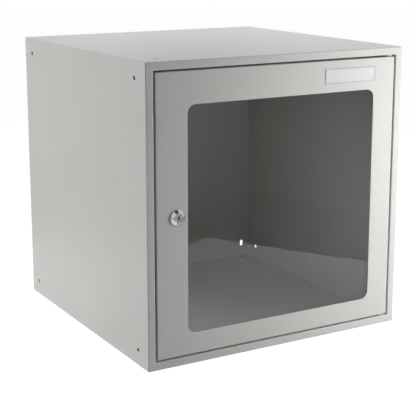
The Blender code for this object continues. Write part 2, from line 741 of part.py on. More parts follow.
def build_plug():
    """The key plug: a round face with a keyway, and a square tail that drives the cam."""
    face = BEZEL_HEIGHT - BEZEL_DISH - PLUG_RECESS
    shoulder = -LOCK_BODY_LENGTH - SEAT_GAP
    tail_end = shoulder - SEAT_GAP - CAM_THICKNESS
    plug = rod("lock_plug", LOCK, TO_FRONT, PLUG_RADIUS, shoulder, face, CHROME, sides=LARGE_SIDES)
    half = Vector((TAIL_HALF, 0.0, TAIL_HALF))
    tail = block(
        "plug_tail_joiner",
        LOCK - half + Vector((0.0, -shoulder - OVERRUN, 0.0)),
        LOCK + half + Vector((0.0, -tail_end, 0.0)),
    )
    boolean(plug, tail, "UNION")
    keyway = block(
        "keyway_cutter",
        LOCK + Vector((-KEYWAY_WIDTH / 2, -face - OVERRUN, -KEYWAY_HEIGHT / 2)),
        LOCK + Vector((KEYWAY_WIDTH / 2, -face + KEYWAY_DEPTH, KEYWAY_HEIGHT / 2)),
    )
    screw_hole = rod("cam_screw_hole_cutter", LOCK, TO_FRONT, CAM_SCREW_RADIUS + SEAT_GAP,
                     tail_end - OVERRUN, tail_end + CAM_SCREW_LENGTH)
    cut(plug, keyway, screw_hole)
    return plug, tail_end


def build_cam(tail_end):
    """The cam that hangs down from the plug's tail, with the washer and screw that hold it."""
    cam_rear = LOCK.y - tail_end
    cam = block(
        "lock_cam",
        (LOCK.x - CAM_WIDTH / 2, cam_rear - CAM_THICKNESS, LOCK.z - CAM_REACH),
        (LOCK.x + CAM_WIDTH / 2, cam_rear, LOCK.z + CAM_HEEL),
        BRIGHT_STEEL,
        radius=CAM_CORNER_RADIUS,
        along=1,
        steps=CORNER_STEPS,
    )
    reach = Vector((TAIL_HALF + SEAT_GAP, 0.0, TAIL_HALF + SEAT_GAP))
    hole = block(
        "cam_hole_cutter",
        LOCK - reach + Vector((0.0, -tail_end - CAM_THICKNESS - OVERRUN, 0.0)),
        LOCK + reach + Vector((0.0, -tail_end + OVERRUN, 0.0)),
    )
    cut(cam, hole)
    washer_top = tail_end - SEAT_GAP
    washer_floor = washer_top - CAM_WASHER_THICKNESS
    bore = CAM_SCREW_RADIUS + SEAT_GAP
    ring = [
        (CAM_WASHER_RADIUS, washer_top),
        (CAM_WASHER_RADIUS, washer_floor),
        (bore, washer_floor),
        (bore, washer_top),
    ]
    washer = turned("cam_washer", ring, LOCK, TO_FRONT, ZINC, hollow=True)
    head_top = washer_floor - SEAT_GAP
    head_floor = head_top - CAM_SCREW_HEAD_HEIGHT
    shank_top = tail_end + CAM_SCREW_LENGTH - SEAT_GAP
    outline = [
        (0.0, shank_top),
        (CAM_SCREW_RADIUS, shank_top),
        (CAM_SCREW_RADIUS, head_top),
        (CAM_SCREW_HEAD_RADIUS, head_top),
        (CAM_SCREW_HEAD_RADIUS, head_floor + CAM_SCREW_SLOT_DEPTH / 2),
        (CAM_SCREW_HEAD_RADIUS - CAM_SCREW_SLOT_DEPTH / 2, head_floor),
        (0.0, head_floor),
    ]
    screw = turned("cam_screw", outline, LOCK, TO_FRONT, ZINC)
    slot_floor = LOCK.y - head_floor - CAM_SCREW_SLOT_DEPTH
    slot = block(
        "cam_screw_slot_cutter",
        (LOCK.x - CAM_SCREW_HEAD_RADIUS - OVERRUN, slot_floor, LOCK.z - CAM_SCREW_SLOT_WIDTH / 2),
        (LOCK.x + CAM_SCREW_HEAD_RADIUS + OVERRUN, slot_floor + OVERRUN, LOCK.z + CAM_SCREW_SLOT_WIDTH / 2),
    )
    cut(screw, slot)
    return [cam, washer, screw]


def build_pivots(pin_hole):
    """Both pivots: the bushes stay with the frame, and the pins and plates go with the door."""
    bushes, door_side = [], []
    for name, z, turn, side in (("upper", DOOR_TOP, UP, 1.0), ("lower", DOOR_BOTTOM, DOWN, -1.0)):
        edge = Vector((PIVOT.x, PIVOT.y, z))
        bushes.append(build_bush(f"{name}_pivot_bush", edge, turn))
        door_side.append(build_pin(f"{name}_pivot_pin", edge, turn))
        door_side.append(build_hinge_plate(f"{name}_hinge_plate", edge, side, pin_hole))
    return bushes, door_side


def build_locker():
    """Every piece, mounted on the empty of the body that it moves with."""
    pin_hole = rod("pin_hole_cutter", PIVOT, UP, PIN_RADIUS + SEAT_GAP, DOOR_BOTTOM - OVERRUN / 2,
                   DOOR_TOP + OVERRUN / 2)
    bushes, door_side = build_pivots(pin_hole)
    carcass = build_carcass() + build_buffers() + bushes
    door = [build_door_panel(pin_hole), build_pane(), *build_pane_fixings(), *door_side]
    door += [build_lock_housing(), *build_lock_fixings()]
    holder, card = build_label()
    plug, tail_end = build_plug()
    hinge_axis = new_pivot("door_hinge_axis", PIVOT)
    lock_axis = new_pivot("lock_axis", LOCK, hinge_axis)
    mount(new_pivot("carcass_origin", Vector()), *carcass)
    mount(hinge_axis, *door, holder, card)
    mount(lock_axis, plug, *build_cam(tail_end))


clear_scene()
PARTS = new_collection("cube_locker")
CUTTERS = new_collection("cutters")
build_locker()
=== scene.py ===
import math

import bmesh
import bpy
from mathutils import Matrix, Vector


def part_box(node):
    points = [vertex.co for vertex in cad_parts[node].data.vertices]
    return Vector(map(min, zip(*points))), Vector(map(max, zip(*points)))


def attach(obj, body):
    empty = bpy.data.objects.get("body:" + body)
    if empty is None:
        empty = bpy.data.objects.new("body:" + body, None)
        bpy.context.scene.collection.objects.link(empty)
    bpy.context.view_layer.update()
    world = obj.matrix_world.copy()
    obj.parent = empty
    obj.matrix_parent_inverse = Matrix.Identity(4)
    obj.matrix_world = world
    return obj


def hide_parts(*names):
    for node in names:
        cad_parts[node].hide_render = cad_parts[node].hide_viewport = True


# The finished look of a cube locker: painted steel, with a glazed door, a cam lock and a label holder.
# Lengths are in metres, +Z is up, the front faces -Y and the origin is the centre of the base.

# Sheets and their bends
BODY_SHEET = 0.0010
BEND_INSIDE = 0.0004
SHEET_EDGE = 0.00015
BEND_STEPS = 5
FRAME_FACE = 0.0105
FRAME_RETURN = 0.0185
STOP_LIP = 0.0100
REAR_FLANGE = 0.0180
WRAP_RADIUS = 0.0016
SEAM = 0.00002
SEAT_GAP = 0.0003
OVERRUN = 0.0050

# Holes for bolting lockers together, and slots for a wall
NEST_HOLE_RADIUS = 0.0027
NEST_FRONT_INSET = 0.0280
NEST_REAR_INSET = 0.0260
SIDE_NEST_INSET = 0.0210
TOP_NEST_INSET = 0.0290
WALL_SLOT_WIDTH = 0.0054
WALL_SLOT_HEIGHT = 0.0100
WALL_SLOT_SIDE_INSET = 0.0135
WALL_SLOT_END_INSET = 0.0230

# Door and window
DOOR_SHEET = 0.0010
DOOR_LIP = 0.0120
LEFT_STILE = 0.0434
RIGHT_STILE = 0.0334
TOP_RAIL = 0.0410
BOTTOM_RAIL = 0.0279
WINDOW_RADIUS = 0.0110
DOOR_CORNER = 0.0015
PANE_EDGE = 0.0003
PANE_CORNER = 0.0020
PANE_NOTCH_GAP = 0.0010

# Strips that hold the pane, with their studs and nuts
PANE_OVERLAP = 0.0080
STRIP_SHEET = 0.0010
STRIP_LAP = 0.0060
STRIP_FOOT = 0.0075
STRIP_END_INSET = 0.0080
STRIP_HOLE_INSET = 0.0160
STRIP_BEND_INSIDE = 0.0003
LOCK_ZONE = 0.0260
STUD_RADIUS = 0.0015
STUD_LENGTH = 0.0060
STUD_FLASH_RADIUS = 0.0019
STUD_FLASH_HEIGHT = 0.0002
STUD_PITCH = 0.0005
STUD_THREAD_DEPTH = 0.0003
STUD_TIP_CONE = 0.00045
NUT_ACROSS_FLATS = 0.0055
NUT_HEIGHT = 0.0024
NUT_EASE = 0.0003
NUT_FACE_SHARE = 0.25
NUT_CONE_SHARE = 1.1

# Pivots
DOOR_GAP = 0.0020
PIN_RADIUS = 0.0020
PIN_HEAD_RADIUS = 0.0036
PIN_HEAD_HEIGHT = 0.0015
PIN_CHAMFER = 0.0007
PIN_ROUND = 0.0003
BUSH_WALL = 0.0009
BUSH_FLANGE_RADIUS = 0.0050
BUSH_FLANGE_HEIGHT = 0.0012
PLATE_CORNER = 0.0025
PLATE_EDGE = 0.0003
SMALL_ROUND = 0.0002

# Lock
LOCK_INSET = 0.0293
BEZEL_RADIUS = 0.01025
BEZEL_HEIGHT = 0.0040
BEZEL_EDGE_HEIGHT = 0.0010
BEZEL_RING_RADIUS = 0.0070
BEZEL_RING_WIDTH = 0.0005
BEZEL_DISH = 0.0004
BEZEL_LIP_SHARE = 1 / 3
LOCK_BODY_RADIUS = 0.0080
LOCK_BODY_LENGTH = 0.0210
LOCK_FLAT = 0.0072
LOCK_PITCH = 0.0010
LOCK_THREAD_DEPTH = 0.0004
PLUG_RADIUS = 0.0058
PLUG_RECESS = 0.0002
PLUG_GROOVE_RADIUS = 0.0047
PLUG_GROOVE_WIDTH = 0.0004
PLUG_GROOVE_DEPTH = 0.0002
KEYWAY_WIDTH = 0.0018
KEYWAY_HEIGHT = 0.0050
KEYWAY_DEPTH = 0.0140
KEYWAY_WARD = 0.0005
KEYWAY_WARD_SHARES = (1 / 3, 1 / 4, 1 / 5)
LOCK_WASHER_RADIUS = 0.0100
LOCK_WASHER_THICKNESS = 0.0010
LOCK_NUT_ACROSS_FLATS = 0.0200
LOCK_NUT_HEIGHT = 0.0040
TAIL_HALF = 0.0033
CAM_THICKNESS = 0.0020
CAM_CORNER = 0.0060
CAM_EDGE = 0.0003
CAM_WASHER_RADIUS = 0.0060
CAM_WASHER_THICKNESS = 0.0008
CAM_SCREW_RADIUS = 0.0018
CAM_SCREW_LENGTH = 0.0090
CAM_SCREW_HEAD_RADIUS = 0.0038
CAM_SCREW_HEAD_HEIGHT = 0.0024
CAM_SCREW_CROWN = 0.0005
CAM_SCREW_DOME_SHARES = (0.6, 0.2)
CAM_SCREW_SLOT_WIDTH = 0.0009
CAM_SCREW_SLOT_DEPTH = 0.0010
DOT_RADIUS = 0.0025
DOT_STAND = 0.00006
DOT_REACH = 0.0010
DOT_ANGLE = math.radians(109.0)

# Rubber buffers
BUFFER_RADIUS = 0.0035
BUFFER_STEM_RADIUS = 0.0018
BUFFER_TAIL_RADIUS = 0.0028
BUFFER_TAIL_LENGTH = 0.0015
BUFFER_ROUND = 0.0011
BUFFER_ENDS = ("lower", "upper")

# Label holder and card
LABEL_RIM = 0.0008
LABEL_LIP = 0.0012
LABEL_CORNER = 0.0010
LABEL_VIEW_CORNER = 0.0004
LABEL_EDGE = 0.00015
LABEL_ADHESIVE = 0.00005
LABEL_BACK = 0.0001
LABEL_FRONT = 0.00015
CARD_THICKNESS = 0.00015
CARD_GAP = 0.00003
CARD_CORNER = 0.0008
CARD_EDGE_SHARE = 0.125

# Facets and corners
CORNER_STEPS = 6
WINDOW_STEPS = 12
FILLET_STEPS = 3
DOT_SIDES = 128
ROUND_SIDES = 64
SMALL_SIDES = 32
STUD_SIDES = 24
HEX_SIDES = 6
FILLET_SHARE = 0.45
NEARLY_STRAIGHT = math.radians(80.0)
MITRE_SHARE = 0.5
MERGE_DISTANCE = 0.000001
SMOOTH_ANGLE = math.radians(35.0)
FLAT_WEIGHT = 100

# Camera
CAMERA_PLACE = (-0.7741, -1.3429, 0.5244)
CAMERA_YAW = math.radians(30.09)
CAMERA_PITCH = math.radians(12.10)
CAMERA_LENS = 97.08
CAMERA_SENSOR = 36.0
CAMERA_SHIFT = -0.08

# Light: place, target, width and height, and power in watts
LAMPS = {
    "right_softbox": ((0.75, -0.62, 0.22), (0.12, -0.19, 0.20), (0.30, 0.60), 2.95),
    "front_softbox": ((0.42, -0.62, 0.22), (0.10, -0.19, 0.20), (0.20, 0.60), 3.50),
    "left_near_softbox": ((-1.10, 0.25, 0.20), (-0.19, 0.0, 0.19), (0.80, 0.40), 6.0),
    "left_far_softbox": ((-1.90, 0.30, 0.50), (-0.19, 0.0, 0.19), (1.20, 1.20), 5.5),
    "top_softbox": ((0.15, 0.35, 1.00), (0.05, 0.10, 0.38), (0.50, 0.50), 1.0),
    "top_right_softbox": ((0.45, 0.20, 0.95), (0.05, 0.0, 0.38), (0.40, 0.40), 2.7),
    "top_rear_softbox": ((-0.20, 0.70, 0.80), (-0.10, 0.10, 0.38), (1.00, 0.30), 1.5),
}
UNMIRRORED_LAMP = "front_softbox"

# Light of the room, and what the pane lets in
AMBIENT_LEVEL = 0.02
PANE_LIGHT_LEFT = 1.95
PANE_LIGHT_LEFT_EDGE = -0.4
PANE_LIGHT_RIGHT = 17.0
PANE_LIGHT_FLOOR = 2.2

# Floor: a white sheet under the object and an apron before it, on dark ground
FLOOR_SIDE = 12.0
SHEET_HALF_SIDE = 0.508
APRON_SIDE = 0.2
APRON_REACH = 1.3
FLOOR_ALBEDO = 0.58
FLOOR_SHADED_SHARE = 0.25
FLOOR_LIFT = 0.98
GROUND_ALBEDO = 0.02

# Noise: octaves and gain, and the part of its range that counts
SOFT_DETAIL = 1.0
PLAIN_DETAIL = 2.0
RICH_DETAIL = 3.0
PLAIN_GAIN = 0.5
RICH_GAIN = 0.6
NOISE_LOW = 0.3
NOISE_HIGH = 0.7

# Paint: linear colour, noise cells per metre, and bumps as strength and depth
PAINT_COLOUR = (0.560, 0.560, 0.542)
PAINT_TONE = 0.015
PAINT_ROUGHNESS = (0.42, 0.46)
PAINT_DRIFT = 14.0
PAINT_WAVES = 260.0
PAINT_SHEEN = 700.0
PAINT_PEBBLES = 1100.0
PAINT_WAVE_BUMP = (0.02, 0.0002)
PAINT_PEBBLE_BUMP = (0.05, 0.00006)

# Clear pane
PANE_TINT = (0.955, 0.962, 0.957)
PANE_IOR = 1.36
PANE_WAVES = 9.0
PANE_WAVE_BUMP = (0.0008, 0.0004)

# Metals: dark and light colour, cells per metre, roughness range, bump strength and stretch along the axes
ZINC = ((0.50, 0.51, 0.52), (0.66, 0.67, 0.68), 320.0, (0.28, 0.46), 0.06)
STEEL = ((0.44, 0.43, 0.42), (0.60, 0.59, 0.58), 500.0, (0.24, 0.40), 0.12, (1.0, 1.0, 0.05))
METAL_FINENESS = 6
METAL_BUMP_DEPTH = 0.00005

# Turned chrome: dark and light colour and roughness range, then its rings and wear
CHROME = ((0.46, 0.46, 0.47), (0.58, 0.58, 0.59), (0.20, 0.30))
WORN_CHROME = ((0.30, 0.30, 0.31), (0.41, 0.41, 0.42), (0.42, 0.50))
CHROME_RINGS = 900.0
CHROME_WAVER = 1.5
CHROME_WEAR = 450.0
CHROME_BUMP = (0.10, 0.00004)

# Matt finishes, and near blacks for painted shade and a painted reflection: dark and light colour, cells
# per metre, roughness range, and the bump's strength and depth
RUBBER = ((0.018, 0.018, 0.018), (0.035, 0.035, 0.035), 600.0, (0.65, 0.85), 0.30, 0.00010)
NYLON = ((0.66, 0.66, 0.62), (0.74, 0.74, 0.70), 300.0, (0.38, 0.52), 0.10, 0.00005)
# The label frame is a mid grey, darker than the door, so that the holder draws a darker outline round the
# card
PLASTIC = ((0.46, 0.46, 0.46), (0.50, 0.50, 0.50), 200.0, (0.30, 0.42), 0.06, 0.00005)
CARD = ((0.640, 0.640, 0.650), (0.680, 0.680, 0.690), 400.0, (0.60, 0.80), 0.15, 0.00006)
# A painted dark reflection for the dot on the bezel's cone: a near black
DARK_REFLECTION = ((0.006, 0.006, 0.007), (0.010, 0.010, 0.011), 800.0, (0.25, 0.35), 0.05, 0.00003)
# Painted shade for the keyway's walls and floor: a near black
KEYWAY_SHADE = ((0.005, 0.005, 0.005), (0.012, 0.011, 0.010), 900.0, (0.30, 0.50), 0.20, 0.00005)
MATT_FINENESS = 5

# Sockets of a colour mix, and the level between off and on
MIX_DARK = 6
MIX_LIGHT = 7
MIX_RESULT = 2
HALFWAY = 0.5

# Sides of the locker, and turns that point a piece's own Z axis along one of its directions
LEFT = -1.0
RIGHT = 1.0
UP = Matrix.Identity(4)
DOWN = Matrix.Rotation(math.pi, 4, "Y")
TO_RIGHT = Matrix.Rotation(math.pi / 2, 4, "Y")
TO_LEFT = Matrix.Rotation(-math.pi / 2, 4, "Y")
TO_FRONT = Matrix.Rotation(math.pi / 2, 4, "X")

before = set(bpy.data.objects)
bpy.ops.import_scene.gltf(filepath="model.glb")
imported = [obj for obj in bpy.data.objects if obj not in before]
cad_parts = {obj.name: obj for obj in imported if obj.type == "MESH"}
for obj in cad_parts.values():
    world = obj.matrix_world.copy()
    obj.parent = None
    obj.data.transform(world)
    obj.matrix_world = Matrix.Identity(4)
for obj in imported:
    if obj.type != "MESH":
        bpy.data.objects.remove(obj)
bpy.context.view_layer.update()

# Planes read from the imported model
SIDE_LOW, SIDE_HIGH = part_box("left_side_panel")
FRONT, REAR = SIDE_LOW.y, SIDE_HIGH.y
WALLS_LOW = Vector((SIDE_LOW.x, FRONT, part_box("bottom_panel")[0].z))
WALLS_HIGH = Vector((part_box("right_side_panel")[1].x, REAR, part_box("top_panel")[1].z))
DOOR_LOW, DOOR_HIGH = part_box("door_panel")
SKIN_REAR = DOOR_LOW.y + DOOR_SHEET
PANE_LOW, PANE_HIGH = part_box("window_pane")
WINDOW_LOW = DOOR_LOW.xz + Vector((LEFT_STILE, BOTTOM_RAIL))
WINDOW_HIGH = DOOR_HIGH.xz - Vector((RIGHT_STILE, TOP_RAIL))
LOCK = Vector((DOOR_LOW.x + LOCK_INSET, FRONT, (DOOR_LOW.z + DOOR_HIGH.z) / 2))

# The lock's place, and heights on its own axis from the door's face toward the front
LOCK_PLACE = Matrix.Translation(LOCK) @ TO_FRONT
PLUG_TOP = BEZEL_HEIGHT - BEZEL_DISH - PLUG_RECESS
SHOULDER = -LOCK_BODY_LENGTH - SEAT_GAP
TAIL_END = SHOULDER - SEAT_GAP - CAM_THICKNESS


# Outlines
def arc(centre, radius, start, end, steps):
    """Points on an arc in a plane, from one angle to another."""
    angles = [start + (end - start) * step / steps for step in range(steps + 1)]
    return [(centre[0] + radius * math.cos(a), centre[1] + radius * math.sin(a)) for a in angles]


def rounded_rectangle(low, high, radius, steps=CORNER_STEPS):
    """Points round a rectangle from its lower left corner on, with the same count for every radius."""
    left, right = low[0] + radius, high[0] - radius
    bottom, top = low[1] + radius, high[1] - radius
    centres = ((left, bottom), (right, bottom), (right, top), (left, top))
    points = []
    for number, centre in enumerate(centres):
        start = math.pi + number * math.pi / 2
        points += arc(centre, radius, start, start + math.pi / 2, steps)
    return points


def shrunk_rectangle(low, high, radius, inward, steps=CORNER_STEPS):
    """A rounded rectangle moved inward by a distance, or outward where that is negative."""
    by = Vector((inward, inward))
    return rounded_rectangle(low + by, high - by, max(radius - inward, 0.0), steps)


def filleted(points, radius, closed=True, steps=FILLET_STEPS):
    """A polygon whose corners are arcs, smaller where an edge is too short. Open ends stay sharp."""
    points = [Vector(point) for point in points]
    result = []
    for number, corner in enumerate(points):
        if not closed and number in (0, len(points) - 1):
            result.append(corner)
            continue
        before, after = points[number - 1] - corner, points[(number + 1) % len(points)] - corner
        back, ahead = before.normalized(), after.normalized()
        half = back.angle(ahead) / 2
        if half > NEARLY_STRAIGHT:
            result.append(corner)
            continue
        room = min(before.length, after.length) * FILLET_SHARE
        reach = min(radius / math.tan(half), room)
        centre = corner + (back + ahead).normalized() * reach / math.cos(half)
        start, end = corner + back * reach - centre, corner + ahead * reach - centre
        turn = start.angle_signed(end)
        for step in range(steps + 1):
            result.append(centre + Matrix.Rotation(-turn * step / steps, 2) @ start)
    return [tuple(point) for point in result]


def inset(points, distance):
    """A closed anticlockwise outline moved inward by a distance."""
    points = [Vector(point) for point in points]
    result = []
    for number, point in enumerate(points):
        along = (point - points[number - 1]).normalized()
        onward = (points[(number + 1) % len(points)] - point).normalized()
        inward = Vector((-along.y - onward.y, along.x + onward.x)).normalized()
        square = Vector((-along.y, along.x))
        result.append(tuple(point + inward * distance / max(inward.dot(square), MITRE_SHARE)))
    return result


def sheet_section(corners, thickness, bend_inside=BEND_INSIDE):
    """The outline of a folded sheet whose middle line turns at the corners, its cut edges eased."""
    corners = [Vector(corner) for corner in corners]
    near, full = thickness / 2 - SHEET_EDGE, thickness / 2
    radius = bend_inside + full
    line = []
    for before, corner, after in zip(corners, corners[1:], corners[2:]):
        back, ahead = (before - corner).normalized(), (after - corner).normalized()
        half = back.angle(ahead) / 2
        centre = corner + (back + ahead).normalized() * radius / math.sin(half)
        start = corner + back * radius / math.tan(half) - centre
        side = 1.0 if back.x * ahead.y - back.y * ahead.x > 0 else -1.0
        for step in range(BEND_STEPS + 1):
            turn = -side * (math.pi - 2 * half) * step / BEND_STEPS
            arm = Matrix.Rotation(turn, 2) @ start
            line.append((centre + arm, arm.normalized() * side * full))
    head, tail = (corners[1] - corners[0]).normalized(), (corners[-2] - corners[-1]).normalized()
    head_left, tail_left = Vector((-head.y, head.x)), Vector((tail.y, -tail.x))
    line.insert(0, (corners[0] + head * SHEET_EDGE, head_left * full))
    line.insert(0, (corners[0], head_left * near))
    line += [(corners[-1] + tail * SHEET_EDGE, tail_left * full), (corners[-1], tail_left * near)]
    left = [tuple(point + out) for point, out in line]
    return left + [tuple(point - out) for point, out in reversed(line)]


# Solids, as meshes in progress
def merge_points(bm):
    """Makes one point of those that coincide, and drops the edges and faces that collapse."""
    bmesh.ops.remove_doubles(bm, verts=bm.verts[:], dist=MERGE_DISTANCE)
    bmesh.ops.dissolve_degenerate(bm, edges=bm.edges[:], dist=MERGE_DISTANCE)


def skinned(rows, closed):
    """A solid through rows of points that come round again: each row closed, or both ends capped."""
    bm = bmesh.new()
    grid = [[bm.verts.new(point) for point in row] for row in rows]
    count = len(grid[0])
    for row, following in zip(grid, grid[1:] + grid[:1]):
        for j in range(count if closed else count - 1):
            k = (j + 1) % count
            bm.faces.new((row[j], row[k], following[k], following[j]))
    if not closed:
        bm.faces.new([row[0] for row in grid])
        bm.faces.new([row[-1] for row in grid])
    merge_points(bm)
    bmesh.ops.recalc_face_normals(bm, faces=bm.faces[:])
    if bm.calc_volume(signed=True) < 0:
        bmesh.ops.reverse_faces(bm, faces=bm.faces[:])
    return bm


def prism(outline, low, high, edge=0.0, place=UP):
    """An outline raised from one height to another, with both rims rounded by the edge radius."""
    levels = []
    for step in range(FILLET_STEPS if edge else 0, -1, -1):
        angle = math.pi / 2 * step / FILLET_STEPS
        levels.append((low + edge * (1 - math.sin(angle)), edge * (1 - math.cos(angle))))
    levels += [(low + high - z, shrink) for z, shrink in reversed(levels)]
    rings = []
    for z, shrink in levels:
        points = inset(outline, shrink) if shrink else outline
        rings.append([place @ Vector((x, y, z)) for x, y in points])
    return skinned(zip(*rings), closed=False)


def lathe(outline, place, sides=SMALL_SIDES):
    """An outline of (radius, height) points turned about the Z axis, closed on the axis or as a ring."""
    rows = []
    for side in range(sides):
        angle = math.tau * side / sides
        rows.append([place @ Vector((r * math.cos(angle), r * math.sin(angle), h)) for r, h in outline])
    return skinned(rows, closed=outline[0][0] > 0)


def thread(radius, depth, pitch, top, bottom):
    """The outline of a thread's ridges, from its top down."""
    points, height = [], top
    while height - pitch > bottom:
        points += [(radius - depth, height), (radius, height - pitch / 2)]
        height -= pitch
    return points + [(radius - depth, height)]


def box_points(low, high):
    """The four corners of a rectangle, anticlockwise."""
    return [(low[0], low[1]), (high[0], low[1]), (high[0], high[1]), (low[0], high[1])]


def hexagon(across_flats):
    """The corners of a hexagon with two flats upright."""
    half = math.pi / HEX_SIDES
    return arc((0.0, 0.0), across_flats / 2 / math.cos(half), half, math.tau - half, HEX_SIDES - 1)


# Objects
def placed(name, data):
    """A new object in the scene."""
    obj = bpy.data.objects.new(name, data)
    bpy.context.scene.collection.objects.link(obj)
    return obj


def shaped(name, bm, cutters=(), joined=(), common=()):
    """An object from the mesh, joined with some, cut to what it shares with others, less the cutters."""
    obj = placed(name, bpy.data.meshes.new(name))
    bm.to_mesh(obj.data)
    bm.free()
    tools = [(tool, "UNION") for tool in joined] + [(tool, "INTERSECT") for tool in common]
    tools += [(tool, "DIFFERENCE") for tool in cutters]
    if not tools:
        return obj
    others = []
    for number, (tool, operation) in enumerate(tools):
        other = placed(f"{name}_tool_{number}", bpy.data.meshes.new("tool"))
        tool.to_mesh(other.data)
        modifier = obj.modifiers.new(other.name, "BOOLEAN")
        modifier.operation = operation
        modifier.solver = "EXACT"
        modifier.object = other
        others.append(other)
    bpy.context.view_layer.update()
    seen = obj.evaluated_get(bpy.context.evaluated_depsgraph_get())
    obj.data = bpy.data.meshes.new_from_object(seen)
    obj.data.name = name
    obj.modifiers.clear()
    for other in others:
        bpy.data.objects.remove(other)
    return obj


def finish_piece(obj, finish, body, *nodes):
    """Smooths and paints a piece, sets it on the body it rides on and hides the parts it replaces."""
    material, slot = finish
    obj.data.materials.clear()
    obj.data.materials.append(material)
    obj.data.shade_smooth()
    obj.data.set_sharp_from_angle(angle=SMOOTH_ANGLE)
    weighted = obj.modifiers.new("flat_faces_stay_flat", "WEIGHTED_NORMAL")
    weighted.keep_sharp = True
    weighted.weight = FLAT_WEIGHT
    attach(obj, body)
    if nodes:
        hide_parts(*nodes)
    return obj


def rod(radius, bottom, top, place, sides=SMALL_SIDES):
    """A plain round rod, used as a cutter."""
    return lathe([(0.0, top), (radius, top), (radius, bottom), (0.0, bottom)], place, sides)


def at(x, y, z, turn=UP):
    """A place: a point, and a turn about it."""
    return Matrix.Translation((x, y, z)) @ turn


# Materials
def add(tree, kind, values=None, **settings):
    """A node with its settings, and with values or links for its inputs."""
    node = tree.nodes.new(kind)
    for name, value in settings.items():
        setattr(node, name, value)
    for name, value in (values or {}).items():
        if isinstance(value, bpy.types.NodeSocket):
            tree.links.new(value, node.inputs[name])
        else:
            node.inputs[name].default_value = value
    return node


def blank_material(name):
    """A material and its empty node tree."""
    material = bpy.data.materials.new(name)
    material.use_nodes = True
    material.node_tree.nodes.clear()
    return material, material.node_tree


def noise(tree, scale, detail=PLAIN_DETAIL, gain=PLAIN_GAIN, stretch=None):
    """Noise in the object's own coordinates, its cells 1 / scale metres across, squeezed by stretch."""
    place = add(tree, "ShaderNodeTexCoord").outputs["Object"]
    if stretch:
        place = add(tree, "ShaderNodeMapping", {"Vector": place, "Scale": stretch}).outputs["Vector"]
    values = {"Vector": place, "Scale": scale, "Detail": detail, "Roughness": gain}
    return add(tree, "ShaderNodeTexNoise", values).outputs["Fac"]


def spread(tree, source, low, high):
    """A value in the range from low to high that follows noise."""
    values = {"Value": source, "From Min": NOISE_LOW, "From Max": NOISE_HIGH, "To Min": low, "To Max": high}
    return add(tree, "ShaderNodeMapRange", values).outputs["Result"]


def blended(tree, source, dark, light):
    """A colour between two that follows noise."""
    values = {"Factor": spread(tree, source, 0.0, 1.0), MIX_DARK: (*dark, 1.0), MIX_LIGHT: (*light, 1.0)}
    return add(tree, "ShaderNodeMix", values, data_type="RGBA").outputs[MIX_RESULT]


def bumped(tree, height, strength, distance, under=None):
    """A normal roughened by a height, over another where there is one."""
    values = {"Height": height, "Strength": strength, "Distance": distance}
    if under is not None:
        values["Normal"] = under
    return add(tree, "ShaderNodeBump", values).outputs["Normal"]


def surfaced(material, values):
    """The material, once it shows a shader with the values."""
    shader = add(material.node_tree, "ShaderNodeBsdfPrincipled", values)
    add(material.node_tree, "ShaderNodeOutputMaterial", {"Surface": shader.outputs["BSDF"]})
    return material


def paint_material():
    """Light grey powder coat: a fine pebbled skin over soft waves, with a tone that drifts slightly."""
    material, tree = blank_material("light_grey_powder_coat")
    dark, light = ([value * (1 + tone) for value in PAINT_COLOUR] for tone in (-PAINT_TONE, PAINT_TONE))
    waves = bumped(tree, noise(tree, PAINT_WAVES, SOFT_DETAIL), *PAINT_WAVE_BUMP)
    values = {
        "Base Color": blended(tree, noise(tree, PAINT_DRIFT, RICH_DETAIL), dark, light),
        "Roughness": spread(tree, noise(tree, PAINT_SHEEN), *PAINT_ROUGHNESS),
        "Normal": bumped(tree, noise(tree, PAINT_PEBBLES), *PAINT_PEBBLE_BUMP, waves),
    }
    return surfaced(material, values)


def glass_material():
    """Clear acrylic sheet with the faint waviness of a cast sheet."""
    material, tree = blank_material("clear_sheet")
    values = {
        "Base Color": (*PANE_TINT, 1.0),
        "Roughness": 0.0,
        "IOR": PANE_IOR,
        "Transmission Weight": 1.0,
        "Normal": bumped(tree, noise(tree, PANE_WAVES, SOFT_DETAIL), *PANE_WAVE_BUMP),
    }
    return surfaced(material, values)


def metal_material(name, dark, light, scale, roughness, bump, stretch=None):
    """Metal whose tone and polish follow noise, drawn out along an axis where it was brushed."""
    material, tree = blank_material(name)
    grain = noise(tree, scale, RICH_DETAIL, RICH_GAIN, stretch)
    fine = noise(tree, scale * METAL_FINENESS, stretch=stretch)
    values = {
        "Base Color": blended(tree, grain, dark, light),
        "Metallic": 1.0,
        "Roughness": spread(tree, fine, *roughness),
        "Normal": bumped(tree, fine, bump, METAL_BUMP_DEPTH),
    }
    return surfaced(material, values)


def turned_chrome_material(name, dark, light, roughness):
    """Polished plate with the fine rings of turning about the lock's axis."""
    material, tree = blank_material(name)
    place = add(tree, "ShaderNodeTexCoord").outputs["Object"]
    centring = {"Vector": place, "Location": (-LOCK.x, 0.0, -LOCK.z), "Scale": (1.0, 0.0, 1.0)}
    centred = add(tree, "ShaderNodeMapping", centring).outputs["Vector"]
    waves = {"Vector": centred, "Scale": CHROME_RINGS, "Distortion": CHROME_WAVER, "Detail": PLAIN_DETAIL}
    kinds = {"wave_type": "RINGS", "rings_direction": "SPHERICAL"}
    rings = add(tree, "ShaderNodeTexWave", waves, **kinds).outputs["Fac"]
    wear = noise(tree, CHROME_WEAR, RICH_DETAIL)
    values = {
        "Base Color": blended(tree, wear, dark, light),
        "Metallic": 1.0,
        "Roughness": spread(tree, wear, *roughness),
        "Normal": bumped(tree, rings, *CHROME_BUMP),
    }
    return surfaced(material, values)


